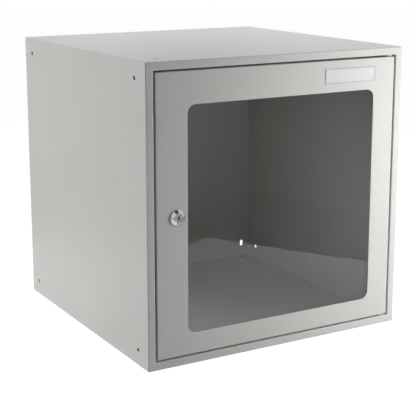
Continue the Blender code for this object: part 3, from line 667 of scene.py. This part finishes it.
def matt_material(name, dark, light, scale, roughness, bump, depth):
    """Rubber, plastic, nylon and card, and the near blacks of painted shade and a painted reflection: a
    tone, a sheen and a grain that follow noise.
    """
    material, tree = blank_material(name)
    grain = noise(tree, scale * MATT_FINENESS, RICH_DETAIL, RICH_GAIN)
    values = {
        "Base Color": blended(tree, noise(tree, scale, RICH_DETAIL), dark, light),
        "Roughness": spread(tree, grain, *roughness),
        "Normal": bumped(tree, grain, bump, depth),
    }
    return surfaced(material, values)


# Pieces of the carcass
def carcass_section():
    """A wall in section, as (y, distance inward) points."""
    half = BODY_SHEET / 2
    front, lip, rear = FRONT + half, FRONT + FRAME_RETURN + half, REAR - half
    corners = [(rear, REAR_FLANGE), (rear, half), (front, half), (front, FRAME_FACE - half)]
    corners += [(lip, FRAME_FACE - half), (lip, FRAME_FACE + STOP_LIP)]
    return sheet_section(corners, BODY_SHEET)


def wall_rows(number):
    """The rows of points of one wall, from corner to corner: 0 bottom, 1 right, 2 top and 3 left."""
    run = Vector(((1, 0), (0, 1), (-1, 0), (0, -1))[number])
    first = number * (CORNER_STEPS + 1) + CORNER_STEPS // 2
    rows = []
    for y, inward in carcass_section():
        ring = shrunk_rectangle(WALLS_LOW.xz, WALLS_HIGH.xz, WRAP_RADIUS, inward)
        side = [Vector(ring[(first + step) % len(ring)]) for step in range(CORNER_STEPS + 2)]
        start, end = side[0].dot(run) + SEAM / 2, side[-1].dot(run) - SEAM / 2
        for point in side:
            point += run * (min(max(point.dot(run), start), end) - point.dot(run))
        rows.append([(x, y, z) for x, z in side])
    return rows


def nest_rods(axis):
    """Cutters for the bolt holes, across the sides or up through the top and base."""
    reach = WALLS_HIGH.x - WALLS_LOW.x
    made = []
    for y in (FRONT + NEST_FRONT_INSET, REAR - NEST_REAR_INSET):
        if axis == "X":
            spots = (WALLS_LOW.z + SIDE_NEST_INSET, WALLS_HIGH.z - SIDE_NEST_INSET)
            places = [at(0.0, y, z, TO_RIGHT) for z in spots]
        else:
            spots = (WALLS_LOW.x + TOP_NEST_INSET, WALLS_HIGH.x - TOP_NEST_INSET)
            places = [at(x, y, reach / 2) for x in spots]
        made += [rod(NEST_HOLE_RADIUS, -reach, reach, place) for place in places]
    return made


def wall_slots(side):
    """Cutters for the two slots at one side of the back."""
    x = side * (WALLS_HIGH.x - WALL_SLOT_SIDE_INSET)
    made = []
    for z in (WALLS_LOW.z + WALL_SLOT_END_INSET, WALLS_HIGH.z - WALL_SLOT_END_INSET):
        low = (x - WALL_SLOT_WIDTH / 2, z - WALL_SLOT_HEIGHT / 2)
        high = (x + WALL_SLOT_WIDTH / 2, z + WALL_SLOT_HEIGHT / 2)
        outline = rounded_rectangle(low, high, WALL_SLOT_WIDTH / 2 - SMALL_ROUND)
        made.append(prism(outline, -REAR - OVERRUN, -REAR + OVERRUN, place=TO_FRONT))
    return made


def middle_of(node):
    """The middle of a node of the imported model."""
    low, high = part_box(node)
    return (low + high) / 2


def buffer_place(end):
    """The place of a rubber buffer, on the front of the lock side's stop lip."""
    middle = middle_of(f"{end}_door_buffer")
    return at(middle.x, FRONT + FRAME_RETURN, middle.z, TO_FRONT)


def build_carcass(paint):
    """The four folded walls and the back."""
    x, y = middle_of("upper_pivot_bush").xy
    reach = WALLS_HIGH.z - BODY_SHEET - OVERRUN
    bush_hole = (PIN_RADIUS + BUSH_WALL + 2 * SEAT_GAP, BODY_SHEET + OVERRUN, reach, at(x, y, 0.0))
    walls = (
        ("bottom_wall", "bottom_panel", None),
        ("right_side_wall", "right_side_panel", RIGHT),
        ("top_wall", "top_panel", None),
        ("left_side_wall", "left_side_panel", LEFT),
    )
    for number, (name, node, side) in enumerate(walls):
        cutters = nest_rods("X") + wall_slots(side) if side else nest_rods("Z") + [rod(*bush_hole)]
        if side == LEFT:
            stem_hole = (BUFFER_STEM_RADIUS + SEAT_GAP, -OVERRUN, OVERRUN)
            cutters += [rod(*stem_hole, buffer_place(end)) for end in BUFFER_ENDS]
        wall = shaped(name, skinned(wall_rows(number), closed=False), cutters)
        finish_piece(wall, paint, "carcass", node)
    low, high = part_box("back_panel")
    sheet = prism(box_points(low.xz, high.xz), -high.y, -low.y, SHEET_EDGE, TO_FRONT)
    back = shaped("back_wall", sheet, wall_slots(LEFT) + wall_slots(RIGHT))
    finish_piece(back, paint, "carcass", "back_panel")


def build_buffers(rubber):
    """Rubber buffers: a domed head in front of the lip, a stem through it and a tail behind."""
    stem, behind = BUFFER_STEM_RADIUS, -BODY_SHEET - SEAT_GAP
    tip = behind - BUFFER_TAIL_LENGTH
    tail = [(stem, behind), (BUFFER_TAIL_RADIUS, behind), (stem, tip), (0.0, tip)]
    for end in BUFFER_ENDS:
        node = f"{end}_door_buffer"
        head = FRONT + FRAME_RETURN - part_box(node)[0].y
        crown = [(0.0, head), (BUFFER_RADIUS, head), (BUFFER_RADIUS, SEAT_GAP), (stem, SEAT_GAP)]
        crown = filleted(crown, BUFFER_ROUND, closed=False, steps=CORNER_STEPS)
        obj = shaped(f"{end}_rubber_buffer", lathe(crown + tail, buffer_place(end)))
        finish_piece(obj, rubber, "carcass", node)


# Pieces of the door
def door_rows():
    """The rows of points of the door's folded tray, from the window's edge out, round the lips and back."""
    half = DOOR_SHEET / 2
    mark = DOOR_LIP + OVERRUN
    front, rear = DOOR_LOW.y + half, DOOR_HIGH.y - half
    corners = [(front, mark), (front, half), (rear, half), (rear, DOOR_LIP)]
    rows = []
    for y, inward in sheet_section(corners, DOOR_SHEET):
        if inward > DOOR_LIP + SEAT_GAP:
            ring = shrunk_rectangle(WINDOW_LOW, WINDOW_HIGH, WINDOW_RADIUS, inward - mark, WINDOW_STEPS)
        else:
            ring = shrunk_rectangle(DOOR_LOW.xz, DOOR_HIGH.xz, DOOR_CORNER, inward, WINDOW_STEPS)
        rows.append([(x, y, z) for x, z in ring])
    return rows


def lock_hole():
    """The cutter for the lock's flatted hole."""
    radius, flat = LOCK_BODY_RADIUS + SEAT_GAP, LOCK_FLAT + SEAT_GAP
    swing = math.acos(flat / radius)
    outline = arc((0.0, 0.0), radius, swing, math.pi - swing, WINDOW_STEPS)
    outline += arc((0.0, 0.0), radius, math.pi + swing, math.tau - swing, WINDOW_STEPS)
    return prism(outline, -OVERRUN, OVERRUN, place=LOCK_PLACE)


def build_door(paint, glass):
    """The folded tray and the clear pane behind its window."""
    x, y = middle_of("upper_pivot_bush").xy
    reach = OVERRUN / 2
    pin_holes = rod(PIN_RADIUS + SEAT_GAP, DOOR_LOW.z - reach, DOOR_HIGH.z + reach, at(x, y, 0.0))
    tray = shaped("door_tray", skinned(door_rows(), closed=True), [lock_hole(), pin_holes])
    finish_piece(tray, paint, "door", "door_panel")
    outline = rounded_rectangle(PANE_LOW.xz, PANE_HIGH.xz, PANE_CORNER)
    sheet = prism(outline, -PANE_HIGH.y, -PANE_LOW.y, PANE_EDGE, TO_FRONT)
    clear = LOCK_NUT_ACROSS_FLATS / 2 / math.cos(math.pi / HEX_SIDES) + PANE_NOTCH_GAP
    notch = rod(clear, DOOR_LOW.y - DOOR_HIGH.y, OVERRUN, LOCK_PLACE, ROUND_SIDES)
    pane = shaped("window_glazing", sheet, [notch])
    finish_piece(pane, glass, "door", "window_pane")


def strip_section():
    """A retaining strip in section, as (distance out from the window's edge, y): lap, step and foot."""
    step = PANE_OVERLAP + 2 * SEAT_GAP
    half = STRIP_SHEET / 2
    lap, foot = PANE_HIGH.y + SEAT_GAP + half, SKIN_REAR + SEAT_GAP + half
    end = step + STRIP_SHEET + STRIP_BEND_INSIDE + STRIP_FOOT
    corners = [(lap, step - STRIP_LAP), (lap, step + half), (foot, step + half), (foot, end)]
    return sheet_section(corners, STRIP_SHEET, STRIP_BEND_INSIDE)


def strip_runs():
    """For each strip: its name, its turn, the middle of its run on the window's edge and its length."""
    (left, bottom), (right, top) = WINDOW_LOW, WINDOW_HIGH
    middle = ((left + right) / 2, (bottom + top) / 2)
    floor, ceiling = bottom + STRIP_END_INSET, top - STRIP_END_INSET
    under, over = LOCK.z - LOCK_ZONE, LOCK.z + LOCK_ZONE
    wide = right - left - 2 * STRIP_END_INSET
    return (
        ("top", UP, (middle[0], 0.0, top), wide),
        ("bottom", DOWN, (middle[0], 0.0, bottom), wide),
        ("right", TO_RIGHT, (right, 0.0, middle[1]), ceiling - floor),
        ("left_lower", TO_LEFT, (left, 0.0, (floor + under) / 2), under - floor),
        ("left_upper", TO_LEFT, (left, 0.0, (over + ceiling) / 2), ceiling - over),
    )


def nut_mesh(across_flats, height, bore, sides=SMALL_SIDES):
    """A hexagon nut with coned corners and an eased bore, its top at height 0."""
    flat = across_flats / 2
    corner = flat / math.cos(math.pi / HEX_SIDES)
    face, outer = flat - (corner - flat) * NUT_FACE_SHARE, corner + (corner - flat)
    drop = (corner - flat) * NUT_CONE_SHARE
    half = [(bore, -NUT_EASE), (bore + NUT_EASE, 0.0), (face, 0.0), (outer, -drop)]
    mirrored = [(radius, -height - z) for radius, z in reversed(half)]
    hexed = prism(hexagon(across_flats), -height - OVERRUN, OVERRUN)
    obj = shaped("nut_in_progress", lathe(half + mirrored, UP, sides), common=[hexed])
    mesh = obj.data
    bpy.data.objects.remove(obj)
    bm = bmesh.new()
    bm.from_mesh(mesh)
    merge_points(bm)
    bm.to_mesh(mesh)
    bm.free()
    return mesh


def stud_outline():
    """A welded stud: a low flash of weld at its foot, then a thread and a coned tip, standing on -Z."""
    root, tip, half = -STUD_FLASH_HEIGHT, -STUD_LENGTH, STUD_PITCH / 2
    points = [(0.0, 0.0), (STUD_FLASH_RADIUS, 0.0), (STUD_RADIUS, root)]
    points += thread(STUD_RADIUS, STUD_THREAD_DEPTH, STUD_PITCH, root - half, tip + half)
    return points + [(STUD_RADIUS - STUD_TIP_CONE, tip), (0.0, tip)]


def build_strips(zinc):
    """The five strips that hold the pane, with their welded studs and their nuts."""
    nut = nut_mesh(NUT_ACROSS_FLATS, NUT_HEIGHT, STUD_RADIUS + SEAT_GAP / 2)
    foot_middle = PANE_OVERLAP + 2 * SEAT_GAP + STRIP_SHEET + STRIP_BEND_INSIDE + STRIP_FOOT / 2
    foot_front, hole_radius = SKIN_REAR + SEAT_GAP, STUD_FLASH_RADIUS + SEAT_GAP / 2
    for name, turn, middle, length in strip_runs():
        place = Matrix.Translation(middle) @ turn
        half, reach = length / 2, length / 2 - STRIP_HOLE_INSET
        rows = [[place @ Vector((x, y, out)) for x in (-half, half)] for y, out in strip_section()]
        spots = [place @ Vector((x, foot_front, foot_middle)) for x in (-reach, reach)]
        holes = [rod(hole_radius, -OVERRUN, OVERRUN, at(*spot, TO_FRONT)) for spot in spots]
        strip = shaped(f"{name}_glazing_strip", skinned(rows, closed=False), holes)
        finish_piece(strip, zinc, "door", f"{name}_pane_retainer")
        for number, spot in enumerate(spots, 1):
            turned = lathe(stud_outline(), at(*spot, TO_FRONT), STUD_SIDES)
            stud = shaped(f"{name}_threaded_stud_{number}", turned)
            finish_piece(stud, zinc, "door", f"{name}_pane_stud_{number}")
            mesh = nut.copy()
            mesh.transform(at(spot.x, foot_front + STRIP_SHEET + SEAT_GAP, spot.z, TO_FRONT))
            fastener = placed(f"{name}_hex_nut_{number}", mesh)
            finish_piece(fastener, zinc, "door", f"{name}_pane_nut_{number}")


def build_pivots(zinc, nylon):
    """At each end of the hinge side: a bush in the frame, and a pin and its plate in the door."""
    bore = PIN_RADIUS + SEAT_GAP
    for name, edge, turn in (("upper", DOOR_HIGH.z, UP), ("lower", DOOR_LOW.z, DOWN)):
        x, y = middle_of(f"{name}_pivot_bush").xy
        place = at(x, y, edge, turn)
        low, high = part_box(f"{name}_pivot_bush")
        flange_top = DOOR_GAP - SEAT_GAP
        flange_low = flange_top - BUSH_FLANGE_HEIGHT
        top = flange_low + high.z - low.z
        bush = [(bore, flange_low), (BUSH_FLANGE_RADIUS, flange_low), (BUSH_FLANGE_RADIUS, flange_top)]
        bush += [(bore + BUSH_WALL, flange_top), (bore + BUSH_WALL, top), (bore, top)]
        obj = shaped(f"{name}_nylon_bush", lathe(filleted(bush, SMALL_ROUND), place))
        finish_piece(obj, nylon, "carcass", f"{name}_pivot_bush")
        low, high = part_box(f"{name}_pivot_pin")
        top = high.z - edge if turn is UP else edge - low.z
        floor = top - (high.z - low.z)
        shoulder = floor + PIN_HEAD_HEIGHT
        pin = [(0.0, top), (PIN_RADIUS - PIN_CHAMFER, top), (PIN_RADIUS, top - PIN_CHAMFER)]
        pin += [(PIN_RADIUS, shoulder), (PIN_HEAD_RADIUS, shoulder), (PIN_HEAD_RADIUS, floor), (0.0, floor)]
        obj = shaped(f"{name}_hinge_pin", lathe(filleted(pin, PIN_ROUND, closed=False), place))
        finish_piece(obj, zinc, "door", f"{name}_pivot_pin")
        low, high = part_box(f"{name}_hinge_plate")
        outline = rounded_rectangle(low.xy, high.xy, PLATE_CORNER)
        hole = rod(bore, -OVERRUN, OVERRUN, at(x, y, (low.z + high.z) / 2))
        obj = shaped(f"{name}_pin_plate", prism(outline, low.z, high.z, PLATE_EDGE), [hole])
        finish_piece(obj, zinc, "door", f"{name}_hinge_plate")


# Pieces of the lock
def painted_reflection_dot():
    """A round black dot that follows the bezel's cone: a painted dark reflection."""
    fall, run = BEZEL_HEIGHT - BEZEL_EDGE_HEIGHT, BEZEL_RADIUS - BEZEL_RING_RADIUS
    slope = math.atan2(fall, run)
    lift = DOT_STAND / math.cos(slope)
    ends = (BEZEL_RING_RADIUS, BEZEL_HEIGHT), (BEZEL_RADIUS, BEZEL_EDGE_HEIGHT)
    skin = [(r, h + lift) for r, h in ends] + [(r, h - lift) for r, h in reversed(ends)]
    middle = Matrix.Translation((BEZEL_RING_RADIUS + run / 2, 0.0, BEZEL_HEIGHT - fall / 2))
    seat = LOCK_PLACE @ Matrix.Rotation(DOT_ANGLE, 4, "Z") @ middle @ Matrix.Rotation(slope, 4, "Y")
    disc = rod(DOT_RADIUS, -DOT_REACH, DOT_REACH, seat)
    return shaped("painted_reflection_dot", lathe(skin, LOCK_PLACE, DOT_SIDES), common=[disc])


def build_lock_body(chrome, dark_reflection):
    """The bezel and the threaded barrel in one, and a black dot on the bezel that is a painted dark
    reflection.
    """
    bore, rear = PLUG_RADIUS + SEAT_GAP, -LOCK_BODY_LENGTH
    inner = BEZEL_RING_RADIUS - BEZEL_RING_WIDTH
    face = [
        (bore, BEZEL_HEIGHT - BEZEL_DISH),
        (inner, BEZEL_HEIGHT - BEZEL_DISH * BEZEL_LIP_SHARE),
        (inner + BEZEL_RING_WIDTH / 2, BEZEL_HEIGHT),
        (BEZEL_RING_RADIUS, BEZEL_HEIGHT),
        (BEZEL_RADIUS, BEZEL_EDGE_HEIGHT),
        (BEZEL_RADIUS, SEAT_GAP),
        (LOCK_BODY_RADIUS, SEAT_GAP),
    ]
    start = -DOOR_SHEET - SEAT_GAP
    barrel = [(LOCK_BODY_RADIUS, start)]
    barrel += thread(LOCK_BODY_RADIUS, LOCK_THREAD_DEPTH, LOCK_PITCH, start - LOCK_PITCH / 2, rear)
    barrel += [(LOCK_BODY_RADIUS - LOCK_PITCH, rear), (bore, rear)]
    outline = filleted(face, SMALL_ROUND, closed=False) + barrel
    reach = LOCK_BODY_RADIUS + OVERRUN
    flats = [
        prism(box_points((left, -reach), (right, reach)), rear - OVERRUN, SEAT_GAP / 2, place=LOCK_PLACE)
        for left, right in ((-reach, -LOCK_FLAT), (LOCK_FLAT, reach))
    ]
    body = shaped("lock_body", lathe(outline, LOCK_PLACE, ROUND_SIDES), flats)
    finish_piece(body, chrome, "door", "lock_housing")
    # The dot is a painted dark reflection, not a mark on the lock.
    finish_piece(painted_reflection_dot(), dark_reflection, "door")


def flat_washer(name, bore, radius, top, thickness, sides):
    """A washer on the lock's axis with rounded rims, and its top at a height."""
    section = filleted(box_points((bore, top - thickness), (radius, top)), SMALL_ROUND)
    return shaped(name, lathe(section, LOCK_PLACE, sides))


def build_lock_fixings(zinc):
    """The washer and the nut that hold the lock in the door."""
    bore, top = LOCK_BODY_RADIUS + SEAT_GAP, -DOOR_SHEET - SEAT_GAP
    size = LOCK_WASHER_RADIUS, top, LOCK_WASHER_THICKNESS
    finish_piece(flat_washer("lock_flat_washer", bore, *size, ROUND_SIDES), zinc, "door", "lock_washer")
    mesh = nut_mesh(LOCK_NUT_ACROSS_FLATS, LOCK_NUT_HEIGHT, bore, ROUND_SIDES)
    front = LOCK.y - top + LOCK_WASHER_THICKNESS + SEAT_GAP
    mesh.transform(at(LOCK.x, front, LOCK.z, TO_FRONT))
    finish_piece(placed("lock_hex_nut", mesh), zinc, "door", "lock_nut")


def keyway():
    """The cutter for the keyway: an upright slot with a ward on one side."""
    half, tall, ward = KEYWAY_WIDTH / 2, KEYWAY_HEIGHT / 2, KEYWAY_WIDTH / 2 - KEYWAY_WARD
    outer, lower, upper = (tall * share for share in KEYWAY_WARD_SHARES)
    outline = [(-half, -tall), (half, -tall), (half, -outer), (ward, -lower)]
    outline += [(ward, upper), (half, outer), (half, tall), (-half, tall)]
    outline = filleted(outline, SMALL_ROUND)
    return prism(outline, PLUG_TOP - KEYWAY_DEPTH, PLUG_TOP + OVERRUN, place=LOCK_PLACE)


def shade_keyway(plug, keyway_shade):
    """Gives the keyway's walls and floor a second, near-black material: painted shade in the slot."""
    plug.data.materials.append(keyway_shade)
    face = LOCK.y - PLUG_TOP
    for polygon in plug.data.polygons:
        aside, up = abs(polygon.center.x - LOCK.x), abs(polygon.center.z - LOCK.z)
        within = aside < KEYWAY_WIDTH / 2 + SMALL_ROUND and up < KEYWAY_HEIGHT / 2 + SMALL_ROUND
        if within and face + SMALL_ROUND < polygon.center.y < face + KEYWAY_DEPTH + SMALL_ROUND:
            polygon.material_index = 1


def build_plug(chrome, keyway_shade):
    """The key plug with its square tail, its keyway darkened with painted shade."""
    groove = PLUG_GROOVE_RADIUS
    face = [
        (0.0, PLUG_TOP),
        (groove - PLUG_GROOVE_WIDTH, PLUG_TOP),
        (groove, PLUG_TOP - PLUG_GROOVE_DEPTH),
        (groove + PLUG_GROOVE_WIDTH, PLUG_TOP),
        (PLUG_RADIUS, PLUG_TOP),
        (PLUG_RADIUS, SHOULDER),
        (0.0, SHOULDER),
    ]
    square = filleted(box_points((-TAIL_HALF, -TAIL_HALF), (TAIL_HALF, TAIL_HALF)), SMALL_ROUND)
    tail = prism(square, TAIL_END, SHOULDER + OVERRUN, place=LOCK_PLACE)
    bore = CAM_SCREW_RADIUS + SEAT_GAP
    screw_hole = rod(bore, TAIL_END - OVERRUN, TAIL_END + CAM_SCREW_LENGTH, LOCK_PLACE)
    turned = lathe(filleted(face, SMALL_ROUND, closed=False), LOCK_PLACE, ROUND_SIDES)
    plug = shaped("key_plug", turned, [keyway(), screw_hole], [tail])
    # The keyway's walls and floor take painted shade.
    shade_keyway(finish_piece(plug, chrome, "lock_cylinder", "lock_plug"), keyway_shade)


def build_cam(steel, zinc):
    """The cam on the plug's tail, its washer and its screw."""
    low, high = (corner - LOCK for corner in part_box("lock_cam"))
    outline = rounded_rectangle(low.xz, high.xz, CAM_CORNER)
    arm = prism(outline, TAIL_END, TAIL_END + CAM_THICKNESS, CAM_EDGE, LOCK_PLACE)
    reach = TAIL_HALF + SEAT_GAP
    square = box_points((-reach, -reach), (reach, reach))
    hole = prism(square, TAIL_END - OVERRUN, SHOULDER + OVERRUN, place=LOCK_PLACE)
    finish_piece(shaped("cam_arm", arm, [hole]), steel, "lock_cylinder", "lock_cam")
    top = TAIL_END - SEAT_GAP
    size = CAM_SCREW_RADIUS + SEAT_GAP, CAM_WASHER_RADIUS, top, CAM_WASHER_THICKNESS
    washer = flat_washer("cam_flat_washer", *size, SMALL_SIDES)
    finish_piece(washer, zinc, "lock_cylinder", "cam_washer")
    head_top, tip = top - CAM_WASHER_THICKNESS - SEAT_GAP, TAIL_END + CAM_SCREW_LENGTH - SEAT_GAP
    floor = head_top - CAM_SCREW_HEAD_HEIGHT
    across, rise = CAM_SCREW_DOME_SHARES
    radius, wide, crown = CAM_SCREW_RADIUS, CAM_SCREW_HEAD_RADIUS, CAM_SCREW_CROWN
    screw = [(0.0, tip), (radius, tip), (radius, head_top), (wide, head_top), (wide, floor + crown)]
    screw += [(wide * across, floor + crown * rise), (0.0, floor)]
    half, ends = CAM_SCREW_SLOT_WIDTH / 2, LOCK_BODY_RADIUS
    slot = box_points((-ends, -half), (ends, half))
    cutter = prism(slot, floor - OVERRUN, floor + CAM_SCREW_SLOT_DEPTH, place=LOCK_PLACE)
    turned = lathe(filleted(screw, SMALL_ROUND, closed=False), LOCK_PLACE)
    finish_piece(shaped("cam_slotted_screw", turned, [cutter]), zinc, "lock_cylinder", "cam_screw")


def build_label(plastic, card_stock):
    """The label holder, open at its left end, and the blank card in it."""
    low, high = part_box("label_holder")
    outline = rounded_rectangle(low.xz, high.xz, LABEL_CORNER)
    foot = LABEL_ADHESIVE - DOOR_LOW.y
    rear = foot + LABEL_BACK
    front = rear + CARD_THICKNESS + 2 * CARD_GAP
    body = prism(outline, foot, front + LABEL_FRONT, LABEL_EDGE, TO_FRONT)
    slot = box_points((low.x - OVERRUN, low.z + LABEL_RIM), (high.x - LABEL_RIM, high.z - LABEL_RIM))
    lip = LABEL_RIM + LABEL_LIP
    view = rounded_rectangle((low.x + lip, low.z + lip), (high.x - lip, high.z - lip), LABEL_VIEW_CORNER)
    cutters = [
        prism(slot, rear, front, place=TO_FRONT),
        prism(view, (rear + front) / 2, front + OVERRUN, place=TO_FRONT),
    ]
    finish_piece(shaped("label_frame", body, cutters), plastic, "door", "label_holder")
    low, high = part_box("label_card")
    outline = rounded_rectangle(low.xz, high.xz, CARD_CORNER)
    sheet = prism(outline, rear + CARD_GAP, front - CARD_GAP, CARD_THICKNESS * CARD_EDGE_SHARE, TO_FRONT)
    finish_piece(shaped("blank_card", sheet), card_stock, "card", "label_card")


# Camera, light and stage
def build_camera():
    """A camera at the photograph's viewing angle."""
    data = bpy.data.cameras.new("camera")
    data.lens = CAMERA_LENS
    data.sensor_width = CAMERA_SENSOR
    data.shift_y = CAMERA_SHIFT
    camera = placed("camera", data)
    camera.location = CAMERA_PLACE
    camera.rotation_euler = (math.pi / 2 - CAMERA_PITCH, 0.0, -CAMERA_YAW)
    bpy.context.scene.camera = camera


def build_lamps():
    """Softboxes that show neither in the picture nor through the pane. One isn't mirrored either."""
    for name, (place, target, size, power) in LAMPS.items():
        data = bpy.data.lights.new(name, "AREA")
        data.shape = "RECTANGLE"
        data.size, data.size_y = size
        data.energy = power
        lamp = placed(name, data)
        lamp.location = place
        lamp.rotation_euler = (Vector(target) - Vector(place)).to_track_quat("-Z", "Y").to_euler()
        lamp.visible_camera = False
        lamp.visible_transmission = False
        lamp.visible_glossy = name != UNMIRRORED_LAMP


def math_node(tree, operation, *values):
    """Values combined by a math operation, each with the result so far."""
    result = values[0]
    for value in values[1:]:
        result = add(tree, "ShaderNodeMath", {0: result, 1: value}, operation=operation).outputs[0]
    return result


def product(tree, *values):
    """Values multiplied together."""
    return math_node(tree, "MULTIPLY", *values)


def largest(tree, *values):
    """The largest of some values."""
    return math_node(tree, "MAXIMUM", *values)


def below(tree, value, limit):
    """1 where a value is less than a limit, and 0 elsewhere."""
    return math_node(tree, "LESS_THAN", value, limit)


def none(tree, value):
    """1 where a count or a switch is 0, and 0 elsewhere."""
    return below(tree, value, HALFWAY)


def any_ray(tree, path, *kinds):
    """1 where a ray is of one of the kinds, and 0 elsewhere."""
    return largest(tree, *(path[f"Is {kind} Ray"] for kind in kinds))


def build_world():
    """A white background, a low even light on the object, and set light from each side behind the pane."""
    world = bpy.data.worlds.new("white_studio")
    bpy.context.scene.world = world
    world.use_nodes = True
    tree = world.node_tree
    tree.nodes.clear()
    path = add(tree, "ShaderNodeLightPath").outputs
    shown = any_ray(tree, path, "Camera", "Glossy", "Transmission")
    seen = product(tree, shown, none(tree, path["Diffuse Depth"]))
    direction = add(tree, "ShaderNodeTexCoord").outputs["Generated"]
    sideways = add(tree, "ShaderNodeSeparateXYZ", {"Vector": direction}).outputs["X"]
    rightward = largest(tree, sideways, 0.0)
    from_left = product(tree, below(tree, sideways, PANE_LIGHT_LEFT_EDGE), PANE_LIGHT_LEFT)
    through = largest(tree, from_left, product(tree, rightward, rightward, PANE_LIGHT_RIGHT))
    inner = {"Value": path["Is Transmission Ray"], "To Min": AMBIENT_LEVEL, "To Max": through}
    past_pane = add(tree, "ShaderNodeMapRange", inner).outputs["Result"]
    strength = add(tree, "ShaderNodeMapRange", {"Value": seen, "To Min": past_pane, "To Max": 1.0})
    values = {"Strength": strength.outputs["Result"], "Color": (1.0, 1.0, 1.0, 1.0)}
    light = add(tree, "ShaderNodeBackground", values)
    add(tree, "ShaderNodeOutputWorld", {"Surface": light.outputs["Background"]})


def inside_sheet(tree, axes):
    """1 on the white sheet round the object and 0 on the ground beyond it."""
    near = []
    for axis in ("X", "Y"):
        far = add(tree, "ShaderNodeMath", {0: axes[axis]}, operation="ABSOLUTE").outputs[0]
        near.append(below(tree, far, SHEET_HALF_SIDE))
    return product(tree, *near)


def inside_apron(tree, axes):
    """1 on the white apron that runs from the sheet toward the camera, at its left."""
    toward = product(tree, axes["Y"], -1.0)
    inside = below(tree, axes["X"], APRON_SIDE), below(tree, axes["Y"], 0.0)
    return product(tree, *inside, below(tree, toward, APRON_REACH))


def diffuse(tree, share):
    """A matt grey that sends back a share of its light."""
    return add(tree, "ShaderNodeBsdfDiffuse", {"Color": (share, share, share, 1.0)}).outputs[0]


def glowing(tree, strength):
    """An even white glow."""
    return add(tree, "ShaderNodeEmission", {"Strength": strength}).outputs[0]


def chosen(tree, switch, off, on):
    """One shader or the other by a switch."""
    return add(tree, "ShaderNodeMixShader", {0: switch, 1: off, 2: on}).outputs[0]


def build_floor():
    """A pale floor that keeps the object's shadow: a white sheet on ground that mirrors show as dark."""
    material, tree = blank_material("pale_floor")
    path = add(tree, "ShaderNodeLightPath").outputs
    first, direct = none(tree, path["Diffuse Depth"]), none(tree, path["Glossy Depth"])
    shown = product(tree, any_ray(tree, path, "Camera", "Transmission"), first, direct)
    mirrored = product(tree, none(tree, direct), first)
    place = add(tree, "ShaderNodeTexCoord").outputs["Object"]
    axes = add(tree, "ShaderNodeSeparateXYZ", {"Vector": place}).outputs
    on_sheet = inside_sheet(tree, axes)
    pale = largest(tree, on_sheet, inside_apron(tree, axes))
    white = largest(tree, shown, product(tree, mirrored, pale))
    past_pane = product(tree, none(tree, first), path["Is Transmission Ray"], on_sheet)
    halves = {0: diffuse(tree, FLOOR_SHADED_SHARE), 1: glowing(tree, FLOOR_LIFT)}
    lifted = add(tree, "ShaderNodeAddShader", halves).outputs[0]
    away = chosen(tree, mirrored, diffuse(tree, FLOOR_ALBEDO), diffuse(tree, GROUND_ALBEDO))
    lit = chosen(tree, past_pane, away, glowing(tree, PANE_LIGHT_FLOOR))
    add(tree, "ShaderNodeOutputMaterial", {"Surface": chosen(tree, white, lit, lifted)})
    bm = bmesh.new()
    bmesh.ops.create_grid(bm, x_segments=1, y_segments=1, size=FLOOR_SIDE / 2)
    floor = shaped("floor", bm)
    floor.rotation_euler = (0.0, 0.0, -CAMERA_YAW)
    floor.data.materials.append(material)


def build_object():
    """Every piece of the locker. A finish is a material and, where it has one, the slot it stands for."""
    paint = paint_material(), "painted_steel"
    glass = glass_material(), "clear_pane"
    zinc = metal_material("zinc_plate", *ZINC), "zinc_plate"
    steel = metal_material("brushed_steel", *STEEL), "cam_steel"
    chrome = turned_chrome_material("turned_chrome", *CHROME), "lock_chrome"
    worn = turned_chrome_material("worn_chrome", *WORN_CHROME), "lock_chrome"
    rubber = matt_material("black_rubber", *RUBBER), "buffer_rubber"
    nylon = matt_material("pale_nylon", *NYLON), "nylon"
    plastic = matt_material("grey_plastic", *PLASTIC), "label_plastic"
    card_stock = matt_material("white_card", *CARD), "label_card"
    # A painted dark reflection on the bezel.
    dark_reflection = matt_material("painted_dark_reflection", *DARK_REFLECTION), None
    # Painted shade inside the keyway.
    keyway_shade = matt_material("painted_keyway_shade", *KEYWAY_SHADE)
    build_carcass(paint)
    build_buffers(rubber)
    build_door(paint, glass)
    build_strips(zinc)
    build_pivots(zinc, nylon)
    build_lock_body(chrome, dark_reflection)
    build_lock_fixings(zinc)
    build_plug(worn, keyway_shade)
    build_cam(steel, zinc)
    build_label(plastic, card_stock)


bpy.context.scene.view_settings.view_transform = "Standard"
build_camera()
build_lamps()
build_world()
build_floor()
build_object()
